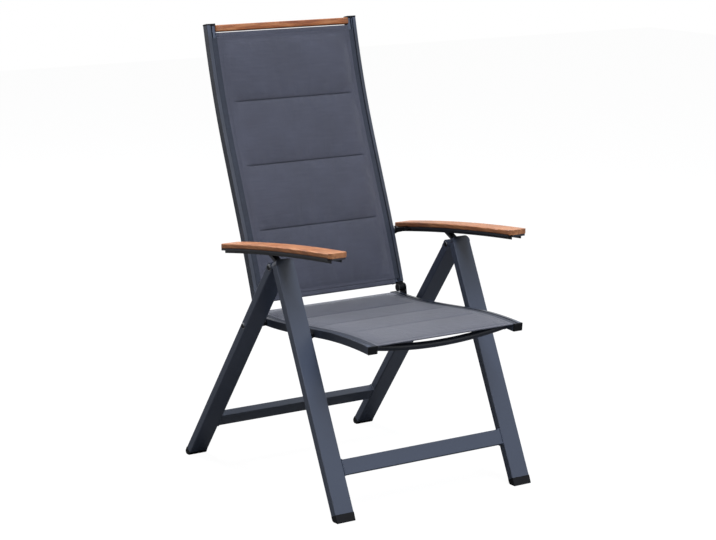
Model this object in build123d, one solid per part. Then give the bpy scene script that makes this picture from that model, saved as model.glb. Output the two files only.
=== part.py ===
from build123d import *
import os
from math import atan2, cos, degrees, hypot, radians, sin

os.makedirs("parts", exist_ok=True)

# Folding high-back garden armchair, in millimetres and degrees.
# The sitter faces -Y, the sitter's left is +X and +Z is up. The floor is z = 0 and the
# apex bolts, where front and rear legs meet, lie on y = 0.
# Every paired piece is drawn once at +X and mirrored.
# A lean is an angle from the vertical, a rise is an angle above the horizontal.

# Drawing aids: the bow below which an arc is drawn straight, the distance within which two
# places count as one, the length of a leg's path and the size of a cutting block
arc_tolerance = 0.0005
same_place = 0.2
leg_path_length = 1000.0
block_size = 2000.0

# Legs
apex_height = 566.0
front_lean = 24.5
rear_lean = 36.4
frame_half_width = 290.0
leg_width = 52.0
leg_depth = 21.0
leg_wall = 2.0
leg_corner = 2.5
front_leg_offset = 22.4
head_radius = 11.4
head_gap = 0.4
ear_radius = 10.5
ear_half_width = 12.5
front_head_above = 10.0
front_tube_below = 6.0
rear_tube_below = 15.0
head_plug = 26.0
head_front_corner = 13.0
foot_cap_height = 17.0
foot_plug = 22.0
foot_heel_radius = 8.0
foot_toe_radius = 1.5

# Crossbars between the legs
crossbar_height = 38.0
crossbar_depth = 20.0
crossbar_wall = 1.8
crossbar_corner = 2.0
front_crossbar_centre = 113.0
rear_crossbar_centre = 106.0

# Bolts, pins and their fits
bolt_radius = 4.0
running_clearance = 0.05
bolt_head_radius = 6.6
bolt_head_height = 2.8
bolt_head_step_share = 0.32
bolt_head_top_share = 0.62
washer_radius = 8.0
washer_thickness = 1.0
spacer_radius = 8.0
side_gap = 0.2

# Struts that carry the arms, placed from the apex
strut_width = 16.0
strut_thickness = 8.0
strut_foot_ahead = 9.0
strut_foot_above = 7.6
strut_pin_behind = 32.0
strut_pin_above = 28.0
strut_eye_radius = 5.0
strut_pin_radius = 3.0
strut_pin_half_length = 12.5

# Seat and back rails: an outer strip beside a lower ledge that carries the fabric
rail_leg_gap = 12.0
rail_width = 25.0
rail_half_depth = 10.0
rail_ledge = 6.0
rail_strip = 10.0
rail_wall = 2.0
rail_corner = 1.6
seat_pivot_distance = 207.5
seat_rear_behind_pivot = 66.9
seat_rear_above_pivot = 4.0
seat_rear_fall_angle = 3.44
seat_rear_length = 190.0
seat_rear_bend_angle = -8.3
seat_straight_length = 125.0
seat_front_length = 202.0
seat_front_bend_angle = 9.73
seat_rest_ahead = 215.6
back_foot_behind_pivot = 53.4
back_foot_above_pivot = 42.0
back_foot_lean = 17.5
back_lower_length = 227.0
back_lower_bend_angle = -3.5
back_straight_length = 155.0
back_upper_length = 326.0
back_upper_bend_angle = 9.0
back_pivot_below = 14.7
arm_pivot_up = 138.4
pivot_drop = 2.0
nut_radius = 5.4
nut_length = 4.4

# Cross tubes of seat and back
bow_tube_radius = 8.8
bow_tube_wall = 1.5
bow_drop = 17.6
bow_from_front = 34.0
bow_below = 3.0
seat_tube_radius = 7.4
rear_tube_from_end = 8.0
seat_tube_below = 3.4
band_height = 15.0
band_half_depth = 7.0
band_wall = 1.5
upper_band_from_top = 20.0
lower_band_from_foot = -4.0
top_bar_height = 14.0
top_bar_half_depth = 10.5
top_bar_corner = 2.5
cap_thickness = 4.0
cap_plug = 14.0
cap_fit = 0.1

# Padded fabric
pad_gap = 0.3
pad_edge_half = 1.4
pad_crown_up = 4.2
pad_crown_down = 3.2
pad_panels = 4
pad_shoulder_share = 0.88
pad_shoulder_crown_share = 0.72
keder_slot = 3.0
keder_slot_from_outer = 15.0
keder_web = 2.0
keder_bead = 2.2
keder_depth = 3.4

# Hinge between seat and back
hinge_plate = 4.2
hinge_plate_radius = 11.0
hinge_foot_half = 16.5
hinge_rivet_half = 9.0
hinge_rivet_radius = 3.4
hinge_rivet_head = 1.4
hinge_eye_length = 16.0
hinge_eye_radius = 9.6
hinge_neck_half = 6.5
hinge_plug = 24.0
hinge_pin_radius = 5.0
hinge_pin_head_radius = 10.4
hinge_pin_head = 1.2

# Rests: a roller on each seat rail drops into a saddle on each front leg
roller_radius = 6.0
roller_inner_gap = 1.0
roller_length = 9.4
rest_bolt_radius = 3.0
rest_bolt_head = 0.6
saddle_clearance = 0.1
saddle_thickness = 4.2
saddle_inner_gap = 2.4
rest_opening = 62.7

# Arms
arm_start_behind_pivot = 5.5
arm_start_above_pivot = 4.5
arm_rise = 8.8
arm_bend_angle = 5.3
arm_length = 496.0
arm_width = 52.4
arm_thickness = 12.0
arm_front_clip = 8.0
arm_rear_clip = 4.0
arm_edge_round = 2.6
channel_width = 30.0
channel_depth = 12.5
channel_wall = 1.7
channel_from_rear = 2.0
channel_from_front = 12.0
tray_thickness = 5.0
tray_inset = 1.2
rack_pitch = 15.0
rack_notches = 7
rack_depth = 5.2
rack_web = 1.5
rack_slot_side = 1.0
rack_gap = 0.1
notch_radius = 3.5
notch_centre = 6.9
bracket_inner_gap = 2.6
bracket_plate = 8.0
bracket_length = 60.0
bracket_front_depth = 9.0
bracket_eye_radius = 12.0
bracket_rear = -2.0
arm_washer_radius = 12.0
arm_bolt_head_radius = 8.4
arm_rear_screw_share = 0.22
arm_front_screw_share = 0.92
arm_screw_past_rack = 34.0
arm_screw_radius = 2.0
arm_screw_head_radius = 3.8
arm_screw_head = 1.6
arm_screw_length = 11.0


def spot(path, along, off):
    """Point (y, z) at a distance along a path of straight and round pieces, off to one side."""
    start, heading, pieces, side = path
    y, z = start
    angle = radians(heading)
    left = along
    for index, (length, bend) in enumerate(pieces):
        step = left if index == len(pieces) - 1 else min(left, length)
        rate = radians(bend) / length
        if bend:
            y += (sin(angle + rate * step) - sin(angle)) / rate
            z -= (cos(angle + rate * step) - cos(angle)) / rate
        else:
            y += cos(angle) * step
            z += sin(angle) * step
        angle += rate * step
        left -= step
        if left <= 0:
            break
    return y - side * sin(angle) * off, z + side * cos(angle) * off


def along_arc(path, place):
    """Distance along a path of one round piece to the point beside a place."""
    start, heading, pieces, side = path
    length, bend = pieces[0]
    angle = radians(heading)
    rate = radians(bend) / length
    centre_y = start[0] - sin(angle) / rate
    centre_z = start[1] + cos(angle) / rate
    return (atan2(place[0] - centre_y, centre_z - place[1]) - angle) / rate


def joints_between(path, low, high):
    """Distances along a path where one piece of it ends inside a stretch."""
    total = 0
    found = []
    for length, bend in path[2][:-1]:
        total += length
        if low < total < high:
            found.append(total)
    return found


def edge_through(first, middle, last, x):
    """Arc through three (y, z) points at one x, or a line where they are in a row."""
    chord_y = last[0] - first[0]
    chord_z = last[1] - first[1]
    reach = hypot(chord_y, chord_z)
    bow = (middle[0] - first[0]) * chord_z - (middle[1] - first[1]) * chord_y
    points = [Vector(x, y, z) for y, z in (first, middle, last)]
    if abs(bow) < reach * arc_tolerance:
        return Edge.make_line(points[0], points[2])
    return Edge.make_three_point_arc(*points)


def edge_beside(path, low, high, off, x):
    """Edge beside one piece of a path."""
    stops = (low, (low + high) / 2, high)
    return edge_through(*(spot(path, stop, off) for stop in stops), x)


def link(first, last):
    """Straight edge from the end of one edge to the start of another."""
    return Edge.make_line(first @ 1, last @ 0)


def ribbon(path, low, high, off_low, off_high, x_low, x_high):
    """Solid that follows a path between two offsets and two x values."""
    stops = [low, *joints_between(path, low, high), high]
    spans = list(zip(stops, stops[1:]))
    under = [edge_beside(path, a, b, off_low, x_low) for a, b in spans]
    over = [edge_beside(path, b, a, off_high, x_low) for a, b in reversed(spans)]
    wire = Wire([*under, link(under[-1], over[0]), *over, link(over[-1], under[0])])
    return Solid.extrude(Face(wire), Vector(x_high - x_low, 0, 0))


def plate(points, x_low, x_high):
    """Flat plate from an outline of (y, z) points."""
    wire = Wire.make_polygon([Vector(x_low, y, z) for y, z in points], close=True)
    return Solid.extrude(Face(wire), Vector(x_high - x_low, 0, 0))


def rod(place, radius, x_low, x_high):
    """Round bar along X through a (y, z) place."""
    plane = Plane(origin=(x_low, place[0], place[1]), x_dir=(0, 1, 0), z_dir=(1, 0, 0))
    return Solid.make_cylinder(radius, x_high - x_low, plane)


def dome(place, radius, height, x_base, outward):
    """Low domed bolt head that grows from a face at x_base."""
    step = height * bolt_head_step_share
    top_radius = radius * bolt_head_top_share
    plane = Plane(origin=(x_base, place[0], place[1]), x_dir=(0, 1, 0), z_dir=(outward, 0, 0))
    lower = Solid.make_cylinder(radius, step, plane)
    upper_plane = plane.offset(step)
    return lower + Solid.make_cone(radius, top_radius, height - step, upper_plane)


def long_edges(solid, least):
    """Edges longer than a length that don't run along X."""
    found = []
    for edge in solid.edges():
        direction = edge @ 1 - edge @ 0
        if edge.length > least and abs(direction.X) < edge.length / 2:
            found.append(edge)
    return found


def tube(path, low, high, half_depth, x_low, x_high, wall, corner):
    """Box tube that follows a path, with rounded long edges and open ends."""
    outer = ribbon(path, low, high, -half_depth, half_depth, x_low, x_high)
    outer = outer.fillet(corner, long_edges(outer, leg_width))
    inner_half = half_depth - wall
    inner = ribbon(path, low, high, -inner_half, inner_half, x_low + wall, x_high - wall)
    return outer - inner


def moved_along(place, angle, along, off):
    """Point at a distance along a direction from a place, and off to its left."""
    turn = radians(angle)
    y = place[0] + cos(turn) * along - sin(turn) * off
    z = place[1] + sin(turn) * along + cos(turn) * off
    return y, z


apex = (0.0, apex_height)
front_heading = 270 - front_lean
rear_heading = 270 + rear_lean
front_leg_start = moved_along(apex, front_heading, 0, -front_leg_offset)
front_leg_path = (front_leg_start, front_heading, [(leg_path_length, 0)], -1)
rear_leg_path = (apex, rear_heading, [(leg_path_length, 0)], 1)
leg_inner = frame_half_width - leg_width
leg_middle = frame_half_width - leg_width / 2
front_floor = front_leg_start[1] / cos(radians(front_lean))
rear_floor = apex_height / cos(radians(rear_lean))

seat_pivot = spot(rear_leg_path, seat_pivot_distance, 0)
seat_pieces = [
    (seat_rear_length, seat_rear_bend_angle),
    (seat_straight_length, 0),
    (seat_front_length, seat_front_bend_angle),
]
seat_start = (seat_pivot[0] + seat_rear_behind_pivot, seat_pivot[1] + seat_rear_above_pivot)
seat_path = (seat_start, 180 + seat_rear_fall_angle, seat_pieces, -1)
seat_rail_length = seat_rear_length + seat_straight_length + seat_front_length
seat_rest = spot(seat_path, seat_rear_behind_pivot + seat_rest_ahead, -pivot_drop)
rail_outer = leg_inner - rail_leg_gap
rail_inner = rail_outer - rail_width

back_pieces = [
    (back_lower_length, back_lower_bend_angle),
    (back_straight_length, 0),
    (back_upper_length, back_upper_bend_angle),
]
back_foot = (seat_pivot[0] + back_foot_behind_pivot, seat_pivot[1] + back_foot_above_pivot)
back_path = (back_foot, 90 - back_foot_lean, back_pieces, 1)
back_length = back_lower_length + back_straight_length + back_upper_length
back_pivot = spot(back_path, -back_pivot_below, 0)
arm_pivot = spot(back_path, arm_pivot_up, -pivot_drop)
arm_start = (arm_pivot[0] + arm_start_behind_pivot, arm_pivot[1] + arm_start_above_pivot)
arm_path = (arm_start, 180 - arm_rise, [(arm_length, arm_bend_angle)], -1)
arm_inner = leg_middle - arm_width / 2
arm_outer = leg_middle + arm_width / 2
channel_inner = leg_middle - channel_width / 2
channel_outer = leg_middle + channel_width / 2
strut_foot = (-strut_foot_ahead, apex_height + strut_foot_above)
strut_pin_place = (strut_pin_behind, apex_height + strut_pin_above)
rack_start = along_arc(arm_path, strut_pin_place) - rack_pitch / 2
rack_end = rack_start + rack_pitch * rack_notches
arm_screw_places = (
    arm_length * arm_rear_screw_share,
    rack_end + arm_screw_past_rack,
    arm_length * arm_front_screw_share,
)

pieces = {}


def keep(name, *solids):
    """Store the separate solids of one node."""
    pieces[name] = list(solids)


def keep_pair(name, solid):
    """Store a piece drawn at +X and its mirror image as two nodes."""
    keep(f"{name}_left", solid)
    keep(f"{name}_right", solid.mirror(Plane.YZ))


def keep_both(name, *solids):
    """Store identical pieces of both sides as one node."""
    keep(name, *solids, *(solid.mirror(Plane.YZ) for solid in solids))


def floor_trim(solid):
    """Cut a piece off at the floor."""
    corner = Plane(origin=(-block_size / 2, -block_size / 2, -block_size))
    return solid - Solid.make_box(block_size, block_size, block_size, corner)


def foot_cap(path, floor):
    """Plastic cap on a leg's end: flat on the floor, with a rounded heel and a plug."""
    half = leg_depth / 2
    start = floor - foot_cap_height
    block = ribbon(path, start, floor + leg_depth, -half, half, leg_inner, frame_half_width)
    block = floor_trim(block)
    bottom = [edge for edge in block.edges() if abs(edge.center().Z) < same_place]
    across = [edge for edge in bottom if edge.length > leg_width - same_place]
    across.sort(key=lambda edge: edge.center().Y)
    toe = across[0]
    heel = across[-1]
    block = block.fillet(foot_toe_radius, [toe])
    heel_now = min(block.edges(), key=lambda edge: (edge.center() - heel.center()).length)
    block = block.fillet(foot_heel_radius, [heel_now])
    inner_half = half - leg_wall - cap_fit
    x_low = leg_inner + leg_wall + cap_fit
    x_high = frame_half_width - leg_wall - cap_fit
    plug = ribbon(path, start - foot_plug, start, -inner_half, inner_half, x_low, x_high)
    return block + plug


def front_leg():
    """Box tube from its foot cap to its head."""
    high = front_floor - foot_cap_height
    half = leg_depth / 2
    return tube(front_leg_path, front_tube_below, high, half, leg_inner, frame_half_width,
                leg_wall, leg_corner)


def front_head():
    """Cast top of a front leg: rounded cap, plug in the tube and the ear of the apex joint."""
    half = leg_depth / 2
    cap = ribbon(front_leg_path, -front_head_above, front_tube_below, -half, half,
                 leg_inner, frame_half_width)
    top = spot(front_leg_path, -front_head_above, 0)
    corners = []
    for edge in cap.edges():
        centre = edge.center()
        near_top = hypot(centre.Y - top[0], centre.Z - top[1]) < half / 2
        if near_top and edge.length < leg_width / 2:
            corners.append(edge)
    cap = cap.fillet(head_front_corner, corners)
    inner_half = half - leg_wall - cap_fit
    x_low = leg_inner + leg_wall + cap_fit
    x_high = frame_half_width - leg_wall - cap_fit
    plug = ribbon(front_leg_path, front_tube_below, front_tube_below + head_plug, -inner_half, inner_half,
                  x_low, x_high)
    ear_low = leg_middle - ear_half_width
    ear_high = leg_middle + ear_half_width
    boss = rod(apex, ear_radius, ear_low, ear_high)
    arm_reach = [
        spot(front_leg_path, -ear_radius, -half),
        moved_along(apex, front_heading, -ear_radius, 0),
        moved_along(apex, front_heading, ear_radius, 0),
        spot(front_leg_path, ear_radius, -half),
    ]
    ear = plate(arm_reach, ear_low, ear_high) + boss
    return cap + plug + ear - rod(apex, bolt_radius + running_clearance, ear_low, ear_high)


def strut(head):
    """Flat bar from the head up to the arm, with an eye for its cross pin."""
    reach_y = strut_pin_place[0] - strut_foot[0]
    reach_z = strut_pin_place[1] - strut_foot[1]
    angle = degrees(atan2(reach_z, reach_y))
    half = strut_thickness / 2
    length = hypot(reach_y, reach_z)
    outline = [moved_along(strut_foot, angle, along, off) for along, off in
               ((0, -half), (length, -half), (length, half), (0, half))]
    x_low = leg_middle - strut_width / 2
    x_high = leg_middle + strut_width / 2
    bar = plate(outline, x_low, x_high)
    eye = rod(strut_pin_place, strut_eye_radius, x_low, x_high)
    hole = rod(strut_pin_place, strut_pin_radius, x_low, x_high)
    whole = (bar + eye - hole) - head
    return max(whole.solids(), key=lambda solid: solid.volume)


def crossbar(path, lean, floor, centre_height):
    """Box tube between the two legs of one frame, in line with their slope."""
    along = floor - centre_height / cos(radians(lean))
    low = along - crossbar_height / 2
    high = along + crossbar_height / 2
    half = crossbar_depth / 2
    outer = ribbon(path, low, high, -half, half, -leg_inner, leg_inner)
    lengthwise = [edge for edge in outer.edges() if edge.length > leg_inner]
    outer = outer.fillet(crossbar_corner, lengthwise)
    inner_half = half - crossbar_wall
    inner = ribbon(path, low + crossbar_wall, high - crossbar_wall, -inner_half, inner_half,
                   -leg_inner, leg_inner)
    return outer - inner


def rear_leg():
    """Box tube from below its head to its foot cap."""
    high = rear_floor - foot_cap_height
    half = leg_depth / 2
    body = tube(rear_leg_path, rear_tube_below, high, half, leg_inner, frame_half_width,
                leg_wall, leg_corner)
    return body - rod(seat_pivot, bolt_radius + running_clearance, leg_inner, frame_half_width)


def rear_head():
    """Cast top of a rear leg: two round cheeks about the apex bolt and a plug in the tube."""
    half = leg_depth / 2
    x_low = leg_inner
    x_high = frame_half_width
    block = ribbon(rear_leg_path, 0, rear_tube_below, -half, half, x_low, x_high)
    round_end = rod(apex, head_radius, x_low, x_high)
    slot_low = leg_middle - ear_half_width - head_gap
    slot_high = leg_middle + ear_half_width + head_gap
    slot_floor = ear_radius + head_gap
    slot = ribbon(rear_leg_path, -head_radius - head_gap, slot_floor, -leg_depth, leg_depth,
                  slot_low, slot_high)
    inner_half = half - leg_wall - cap_fit
    inset = leg_wall + cap_fit
    plug = ribbon(rear_leg_path, rear_tube_below, rear_tube_below + head_plug,
                  -inner_half, inner_half, x_low + inset, x_high - inset)
    hole = rod(apex, bolt_radius + running_clearance, x_low, x_high)
    return block + round_end - slot - hole + plug


def apex_bolt():
    """Bolt through one apex joint, with a low head at each end."""
    outer_face = frame_half_width + washer_thickness
    shank = rod(apex, bolt_radius, leg_inner, outer_face)
    outer = dome(apex, bolt_head_radius, bolt_head_height, outer_face, 1)
    inner = dome(apex, bolt_head_radius, bolt_head_height, leg_inner, -1)
    return shank + outer + inner


def washer(place, x_low):
    """Plain washer on a leg's outer face."""
    x_high = x_low + washer_thickness
    disc = rod(place, washer_radius, x_low, x_high)
    return disc - rod(place, bolt_radius, x_low, x_high)


def rail_nut(place):
    """Round nut inside a rail, a hair behind its outer wall, with the bolt's end."""
    x_high = rail_outer - rail_wall - side_gap / 2
    nut = rod(place, nut_radius, x_high - nut_length, x_high)
    return nut + rod(place, rest_bolt_radius, x_high, rail_outer)


def rail_bore(place, radius):
    """Cutter for a hole in a rail's outer wall."""
    return rod(place, radius, rail_outer - rail_wall * 2, rail_outer)


def seat_bolt():
    """Bolt through a rear leg into a seat rail, with its head outside and a nut inside."""
    outer_face = frame_half_width + washer_thickness
    shank = rod(seat_pivot, bolt_radius, rail_outer - rail_wall, outer_face)
    shank = shank + rail_nut(seat_pivot)
    head = dome(seat_pivot, bolt_head_radius, bolt_head_height,
                frame_half_width + washer_thickness, 1)
    return shank + head


def seat_spacer():
    """Round spacer that keeps the seat rail off the rear leg."""
    x_low = rail_outer + side_gap
    ring = rod(seat_pivot, spacer_radius, x_low, leg_inner)
    return ring - rod(seat_pivot, bolt_radius, x_low, leg_inner)


def saddle():
    """Half ring on a front leg's inner face; it opens the way the roller leaves it."""
    inner = roller_radius + saddle_clearance
    outer = inner + saddle_thickness
    x_low = rail_outer + saddle_inner_gap
    ring = rod(seat_rest, outer, x_low, leg_inner) - rod(seat_rest, inner, x_low, leg_inner)
    opening = 180 - rest_opening
    corners = ((0, -outer), (outer, -outer), (outer, outer), (0, outer))
    cut = [moved_along(seat_rest, opening, along, off) for along, off in corners]
    return ring - plate(cut, x_low, leg_inner)


def roller():
    """Plastic bush that rests in the saddle."""
    x_low = rail_outer + roller_inner_gap
    x_high = x_low + roller_length
    bush = rod(seat_rest, roller_radius, x_low, x_high)
    return bush - rod(seat_rest, rest_bolt_radius, x_low, x_high)


def rest_bolt():
    """Bolt that holds the roller on the seat rail, with a collar between them."""
    x_roller = rail_outer + roller_inner_gap
    x_end = x_roller + roller_length
    shank = rod(seat_rest, rest_bolt_radius, rail_outer - rail_wall, x_end)
    shank = shank + rail_nut(seat_rest)
    collar = rod(seat_rest, rest_bolt_radius + roller_inner_gap, rail_outer, x_roller)
    head = rod(seat_rest, rest_bolt_radius + roller_inner_gap, x_end, x_end + rest_bolt_head)
    return shank + collar + head


def keder_middle():
    """Distance from the centre plane to the slot in a rail's ledge."""
    return rail_outer - keder_slot_from_outer


def rail(path, length, half_depth):
    """Rail with an outer strip, a lower ledge for the fabric, a keder slot and a hollow."""
    base = ribbon(path, 0, length, -half_depth, rail_ledge, rail_inner, rail_outer)
    strip = ribbon(path, 0, length, rail_ledge, half_depth, rail_outer - rail_strip, rail_outer)
    outer = base + strip
    sharp = []
    for edge in long_edges(outer, leg_width):
        if abs(edge.center().X - rail_outer) < same_place:
            sharp.append(edge)
    outer = outer.fillet(rail_corner, sharp)
    hollow = ribbon(path, 0, length, -half_depth + rail_wall, rail_ledge - rail_wall,
                    rail_inner + rail_wall, rail_outer - rail_wall)
    slot_low = keder_middle() - keder_slot / 2
    slot = ribbon(path, 0, length, rail_ledge - rail_wall, rail_ledge, slot_low,
                  slot_low + keder_slot)
    return outer - hollow - slot


def seat_rail():
    """Seat rail with holes for its pivot bolt and its rest bolt."""
    body = rail(seat_path, seat_rail_length, rail_half_depth)
    pivot_hole = rail_bore(seat_pivot, bolt_radius + running_clearance)
    return body - pivot_hole - rail_bore(seat_rest, rest_bolt_radius)


def back_rail():
    """Back rail, curved as the back is, with a hole for the arm's pivot bolt."""
    body = rail(back_path, back_length, rail_half_depth)
    return body - rail_bore(arm_pivot, bolt_radius + running_clearance)


def end_cap(path, end, way):
    """Plastic cap on a rail's open end. It grows along the path where way is 1."""
    face_low = min(end, end + way * cap_thickness)
    plug_low = min(end, end - way * cap_plug)
    face = ribbon(path, face_low, face_low + cap_thickness, -rail_half_depth, rail_half_depth,
                  rail_inner, rail_outer)
    face = face.fillet(rail_corner, face.edges().filter_by(Axis.X))
    inset = rail_wall + cap_fit
    plug = ribbon(path, plug_low, plug_low + cap_plug, -rail_half_depth + inset,
                  rail_ledge - inset - keder_bead * 2, rail_inner + inset, rail_outer - inset)
    return face + plug


def bow_tube():
    """Round tube between the seat rails that hangs below the front of the fabric."""
    along = seat_rail_length - bow_from_front
    end = spot(seat_path, along, -bow_below)
    middle = spot(seat_path, along, -bow_below - bow_drop)
    ends = [Vector(side * rail_inner, end[0], end[1]) for side in (-1, 1)]
    line = Edge.make_three_point_arc(ends[0], Vector(0, *middle), ends[1])
    plane = Plane(origin=ends[0], z_dir=line % 0)
    ring = Face(Wire.make_circle(bow_tube_radius, plane),
                [Wire.make_circle(bow_tube_radius - bow_tube_wall, plane)])
    swept = Solid.sweep(ring, line)
    left = rail_slab(1)
    right = rail_slab(-1)
    return swept - left - right


def rail_slab(side):
    """Block that stands for the rails beyond their inner faces, to trim a cross tube."""
    x_low = rail_inner if side > 0 else -rail_inner - leg_width
    corner = Plane(origin=(x_low, -block_size / 2, 0))
    return Solid.make_box(leg_width, block_size, block_size, corner)


def seat_rear_tube():
    """Round tube between the seat rails below the rear of the fabric."""
    centre = spot(seat_path, rear_tube_from_end, -seat_tube_below)
    outer = rod(centre, seat_tube_radius, -rail_inner, rail_inner)
    return outer - rod(centre, seat_tube_radius - bow_tube_wall, -rail_inner, rail_inner)


def band(low):
    """Flat cross tube between the back rails at one end of the fabric."""
    high = low + band_height
    outer = ribbon(back_path, low, high, -band_half_depth, band_half_depth,
                   -rail_inner, rail_inner)
    outer = outer.fillet(rail_corner, outer.edges().filter_by(Axis.X))
    inner = ribbon(back_path, low + band_wall, high - band_wall, band_wall - band_half_depth,
                   band_half_depth - band_wall, -rail_inner, rail_inner)
    return outer - inner


def top_bar():
    """Wooden bar between the tops of the back rails, with softened edges."""
    low = back_length - top_bar_height
    bar = ribbon(back_path, low, back_length, -top_bar_half_depth, top_bar_half_depth,
                 -rail_inner, rail_inner)
    return bar.fillet(top_bar_corner, bar.edges().filter_by(Axis.X))


def pad_wire(path, low, high, x, share):
    """Cross-section of the padded fabric at one x: a row of sewn panels, each one crowned."""
    pitch = (high - low) / pad_panels
    stops = [low + pitch * index for index in range(pad_panels + 1)]
    middle = rail_ledge + pad_gap + pad_edge_half
    over = []
    under = []
    for first, last in zip(stops, stops[1:]):
        centre = (first + last) / 2
        top = middle + pad_edge_half
        points = (spot(path, first, top), spot(path, centre, top + pad_crown_up * share),
                  spot(path, last, top))
        over.append(edge_through(*points, x))
        bottom = middle - pad_edge_half
        points = (spot(path, last, bottom), spot(path, centre, bottom - pad_crown_down * share),
                  spot(path, first, bottom))
        under.insert(0, edge_through(*points, x))
    return Wire([*over, link(over[-1], under[0]), *under, link(under[-1], over[0])])


def pad(path, low, high):
    """Padded sling: crowned panels drawn in at the sides, and a keder strip in each rail."""
    half = rail_outer - rail_strip - pad_gap
    free = rail_inner - pad_gap
    shoulder = free * pad_shoulder_share
    stations = (
        (-free, 0),
        (-shoulder, pad_shoulder_crown_share),
        (0, 1),
        (shoulder, pad_shoulder_crown_share),
        (free, 0),
    )
    body = Solid.make_loft([pad_wire(path, low, high, x, share) for x, share in stations])
    border = Solid.extrude(Face(pad_wire(path, low, high, free, 0)), Vector(half - free, 0, 0))
    top = rail_ledge + pad_gap + pad_edge_half
    web_half = keder_web / 2
    whole = body + border + border.mirror(Plane.YZ)
    for side in (-1, 1):
        x = side * keder_middle()
        web = ribbon(path, low, high, rail_ledge - keder_depth, top, x - web_half, x + web_half)
        bead = ribbon(path, low, high, rail_ledge - keder_depth - keder_bead,
                      rail_ledge - keder_depth, x - keder_bead, x + keder_bead)
        whole = whole + web + bead
    return whole


def seat_hinge():
    """Flat bracket riveted to the outer side of a seat rail, with a hole for the hinge pin."""
    x_low = rail_outer + cap_fit
    x_high = x_low + hinge_plate
    middle = seat_start[0] - back_pivot[0]
    outline = [
        spot(seat_path, middle - hinge_foot_half, rail_corner - rail_half_depth),
        spot(seat_path, middle + hinge_foot_half, rail_corner - rail_half_depth),
        (back_pivot[0] - hinge_plate_radius, back_pivot[1]),
        (back_pivot[0] + hinge_plate_radius, back_pivot[1]),
    ]
    whole = plate(outline, x_low, x_high) + rod(back_pivot, hinge_plate_radius, x_low, x_high)
    for along in (middle - hinge_rivet_half, middle + hinge_rivet_half):
        place = spot(seat_path, along, -pivot_drop)
        whole = whole + dome(place, hinge_rivet_radius, hinge_rivet_head, x_high, 1)
    return whole - rod(back_pivot, hinge_pin_radius + running_clearance, x_low, x_high)


def back_hinge():
    """Bracket in a back rail's lower end: a plug and an eye about the hinge pin."""
    inset = rail_wall + cap_fit
    x_low = rail_outer - hinge_eye_length
    x_high = rail_outer - side_gap
    plug = ribbon(back_path, 0, hinge_plug, -rail_half_depth + inset,
                  rail_ledge - inset - keder_bead * 2, rail_inner + inset, rail_outer - inset)
    neck = ribbon(back_path, -back_pivot_below, 0, -hinge_neck_half, hinge_neck_half,
                  x_low, x_high)
    eye = rod(back_pivot, hinge_eye_radius, x_low, x_high)
    hole = rod(back_pivot, hinge_pin_radius + running_clearance, x_low, x_high)
    return plug + neck + eye - hole


def hinge_pin():
    """Pin of a seat-back hinge, with a wide low head at each end."""
    low = rail_outer - hinge_eye_length - side_gap
    high = rail_outer + cap_fit + hinge_plate + side_gap
    outer = dome(back_pivot, hinge_pin_head_radius, hinge_pin_head, high, 1)
    inner = dome(back_pivot, hinge_pin_head_radius, hinge_pin_head, low, -1)
    return rod(back_pivot, hinge_pin_radius, low, high) + outer + inner


def arm_bolt():
    """Bolt of an arm's pivot, with a wear washer between rail and bracket and a low head."""
    plate_low = rail_outer + bracket_inner_gap
    plate_high = plate_low + bracket_plate
    head_low = plate_high + side_gap / 2
    wear_washer = rod(arm_pivot, arm_washer_radius, rail_outer + side_gap / 2,
                      plate_low - side_gap / 2)
    head = rod(arm_pivot, arm_bolt_head_radius, head_low, head_low + washer_thickness)
    shank = rod(arm_pivot, bolt_radius, rail_outer - rail_wall, head_low)
    return shank + rail_nut(arm_pivot) + wear_washer + head


def arm_bracket():
    """Bracket under an arm's rear end: a plate with the pivot's eye and a flange to the arm."""
    x_low = rail_outer + bracket_inner_gap
    x_high = x_low + bracket_plate
    outline = [
        spot(arm_path, bracket_rear, 0),
        spot(arm_path, bracket_length, 0),
        spot(arm_path, bracket_length, -bracket_front_depth),
        moved_along(arm_pivot, 270, bracket_eye_radius, bracket_eye_radius / 2),
        moved_along(arm_pivot, 0, bracket_eye_radius, 0),
    ]
    web = plate(outline, x_low, x_high) + rod(arm_pivot, bracket_eye_radius, x_low, x_high)
    flange = ribbon(arm_path, channel_from_rear, bracket_length, -bracket_front_depth, 0,
                    x_low, channel_inner)
    hole = rod(arm_pivot, bolt_radius + running_clearance, x_low, x_high)
    clear = rod(arm_pivot, bracket_eye_radius, x_high, channel_inner)
    above = ribbon(arm_path, bracket_rear, bracket_length, 0, arm_thickness, x_low, x_high)
    return web + (flange - clear) - hole - above


def arm_slab():
    """Wooden arm: gently arched, with rounded long edges and clipped corners."""
    slab = ribbon(arm_path, 0, arm_length, 0, arm_thickness, arm_inner, arm_outer)
    slab = slab.fillet(arm_edge_round, long_edges(slab, arm_width * 2))
    rear_y = spot(arm_path, 0, 0)[0]
    front_y = spot(arm_path, arm_length, arm_thickness)[0]
    front_clip_y = front_y + arm_front_clip
    rear_clip_y = rear_y - arm_rear_clip
    plan = [
        (arm_inner, rear_clip_y),
        (arm_inner + arm_rear_clip, rear_y),
        (arm_outer - arm_rear_clip, rear_y),
        (arm_outer, rear_clip_y),
        (arm_outer, front_clip_y),
        (arm_outer - arm_front_clip, front_y),
        (arm_inner + arm_front_clip, front_y),
        (arm_inner, front_clip_y),
    ]
    face = Face(Wire.make_polygon([Vector(x, y, 0) for x, y in plan], close=True))
    slab = slab & Solid.extrude(face, Vector(0, 0, apex_height * 2))
    for along in arm_screw_places:
        slab = slab - arm_screw_shank(along)
    return slab


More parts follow.
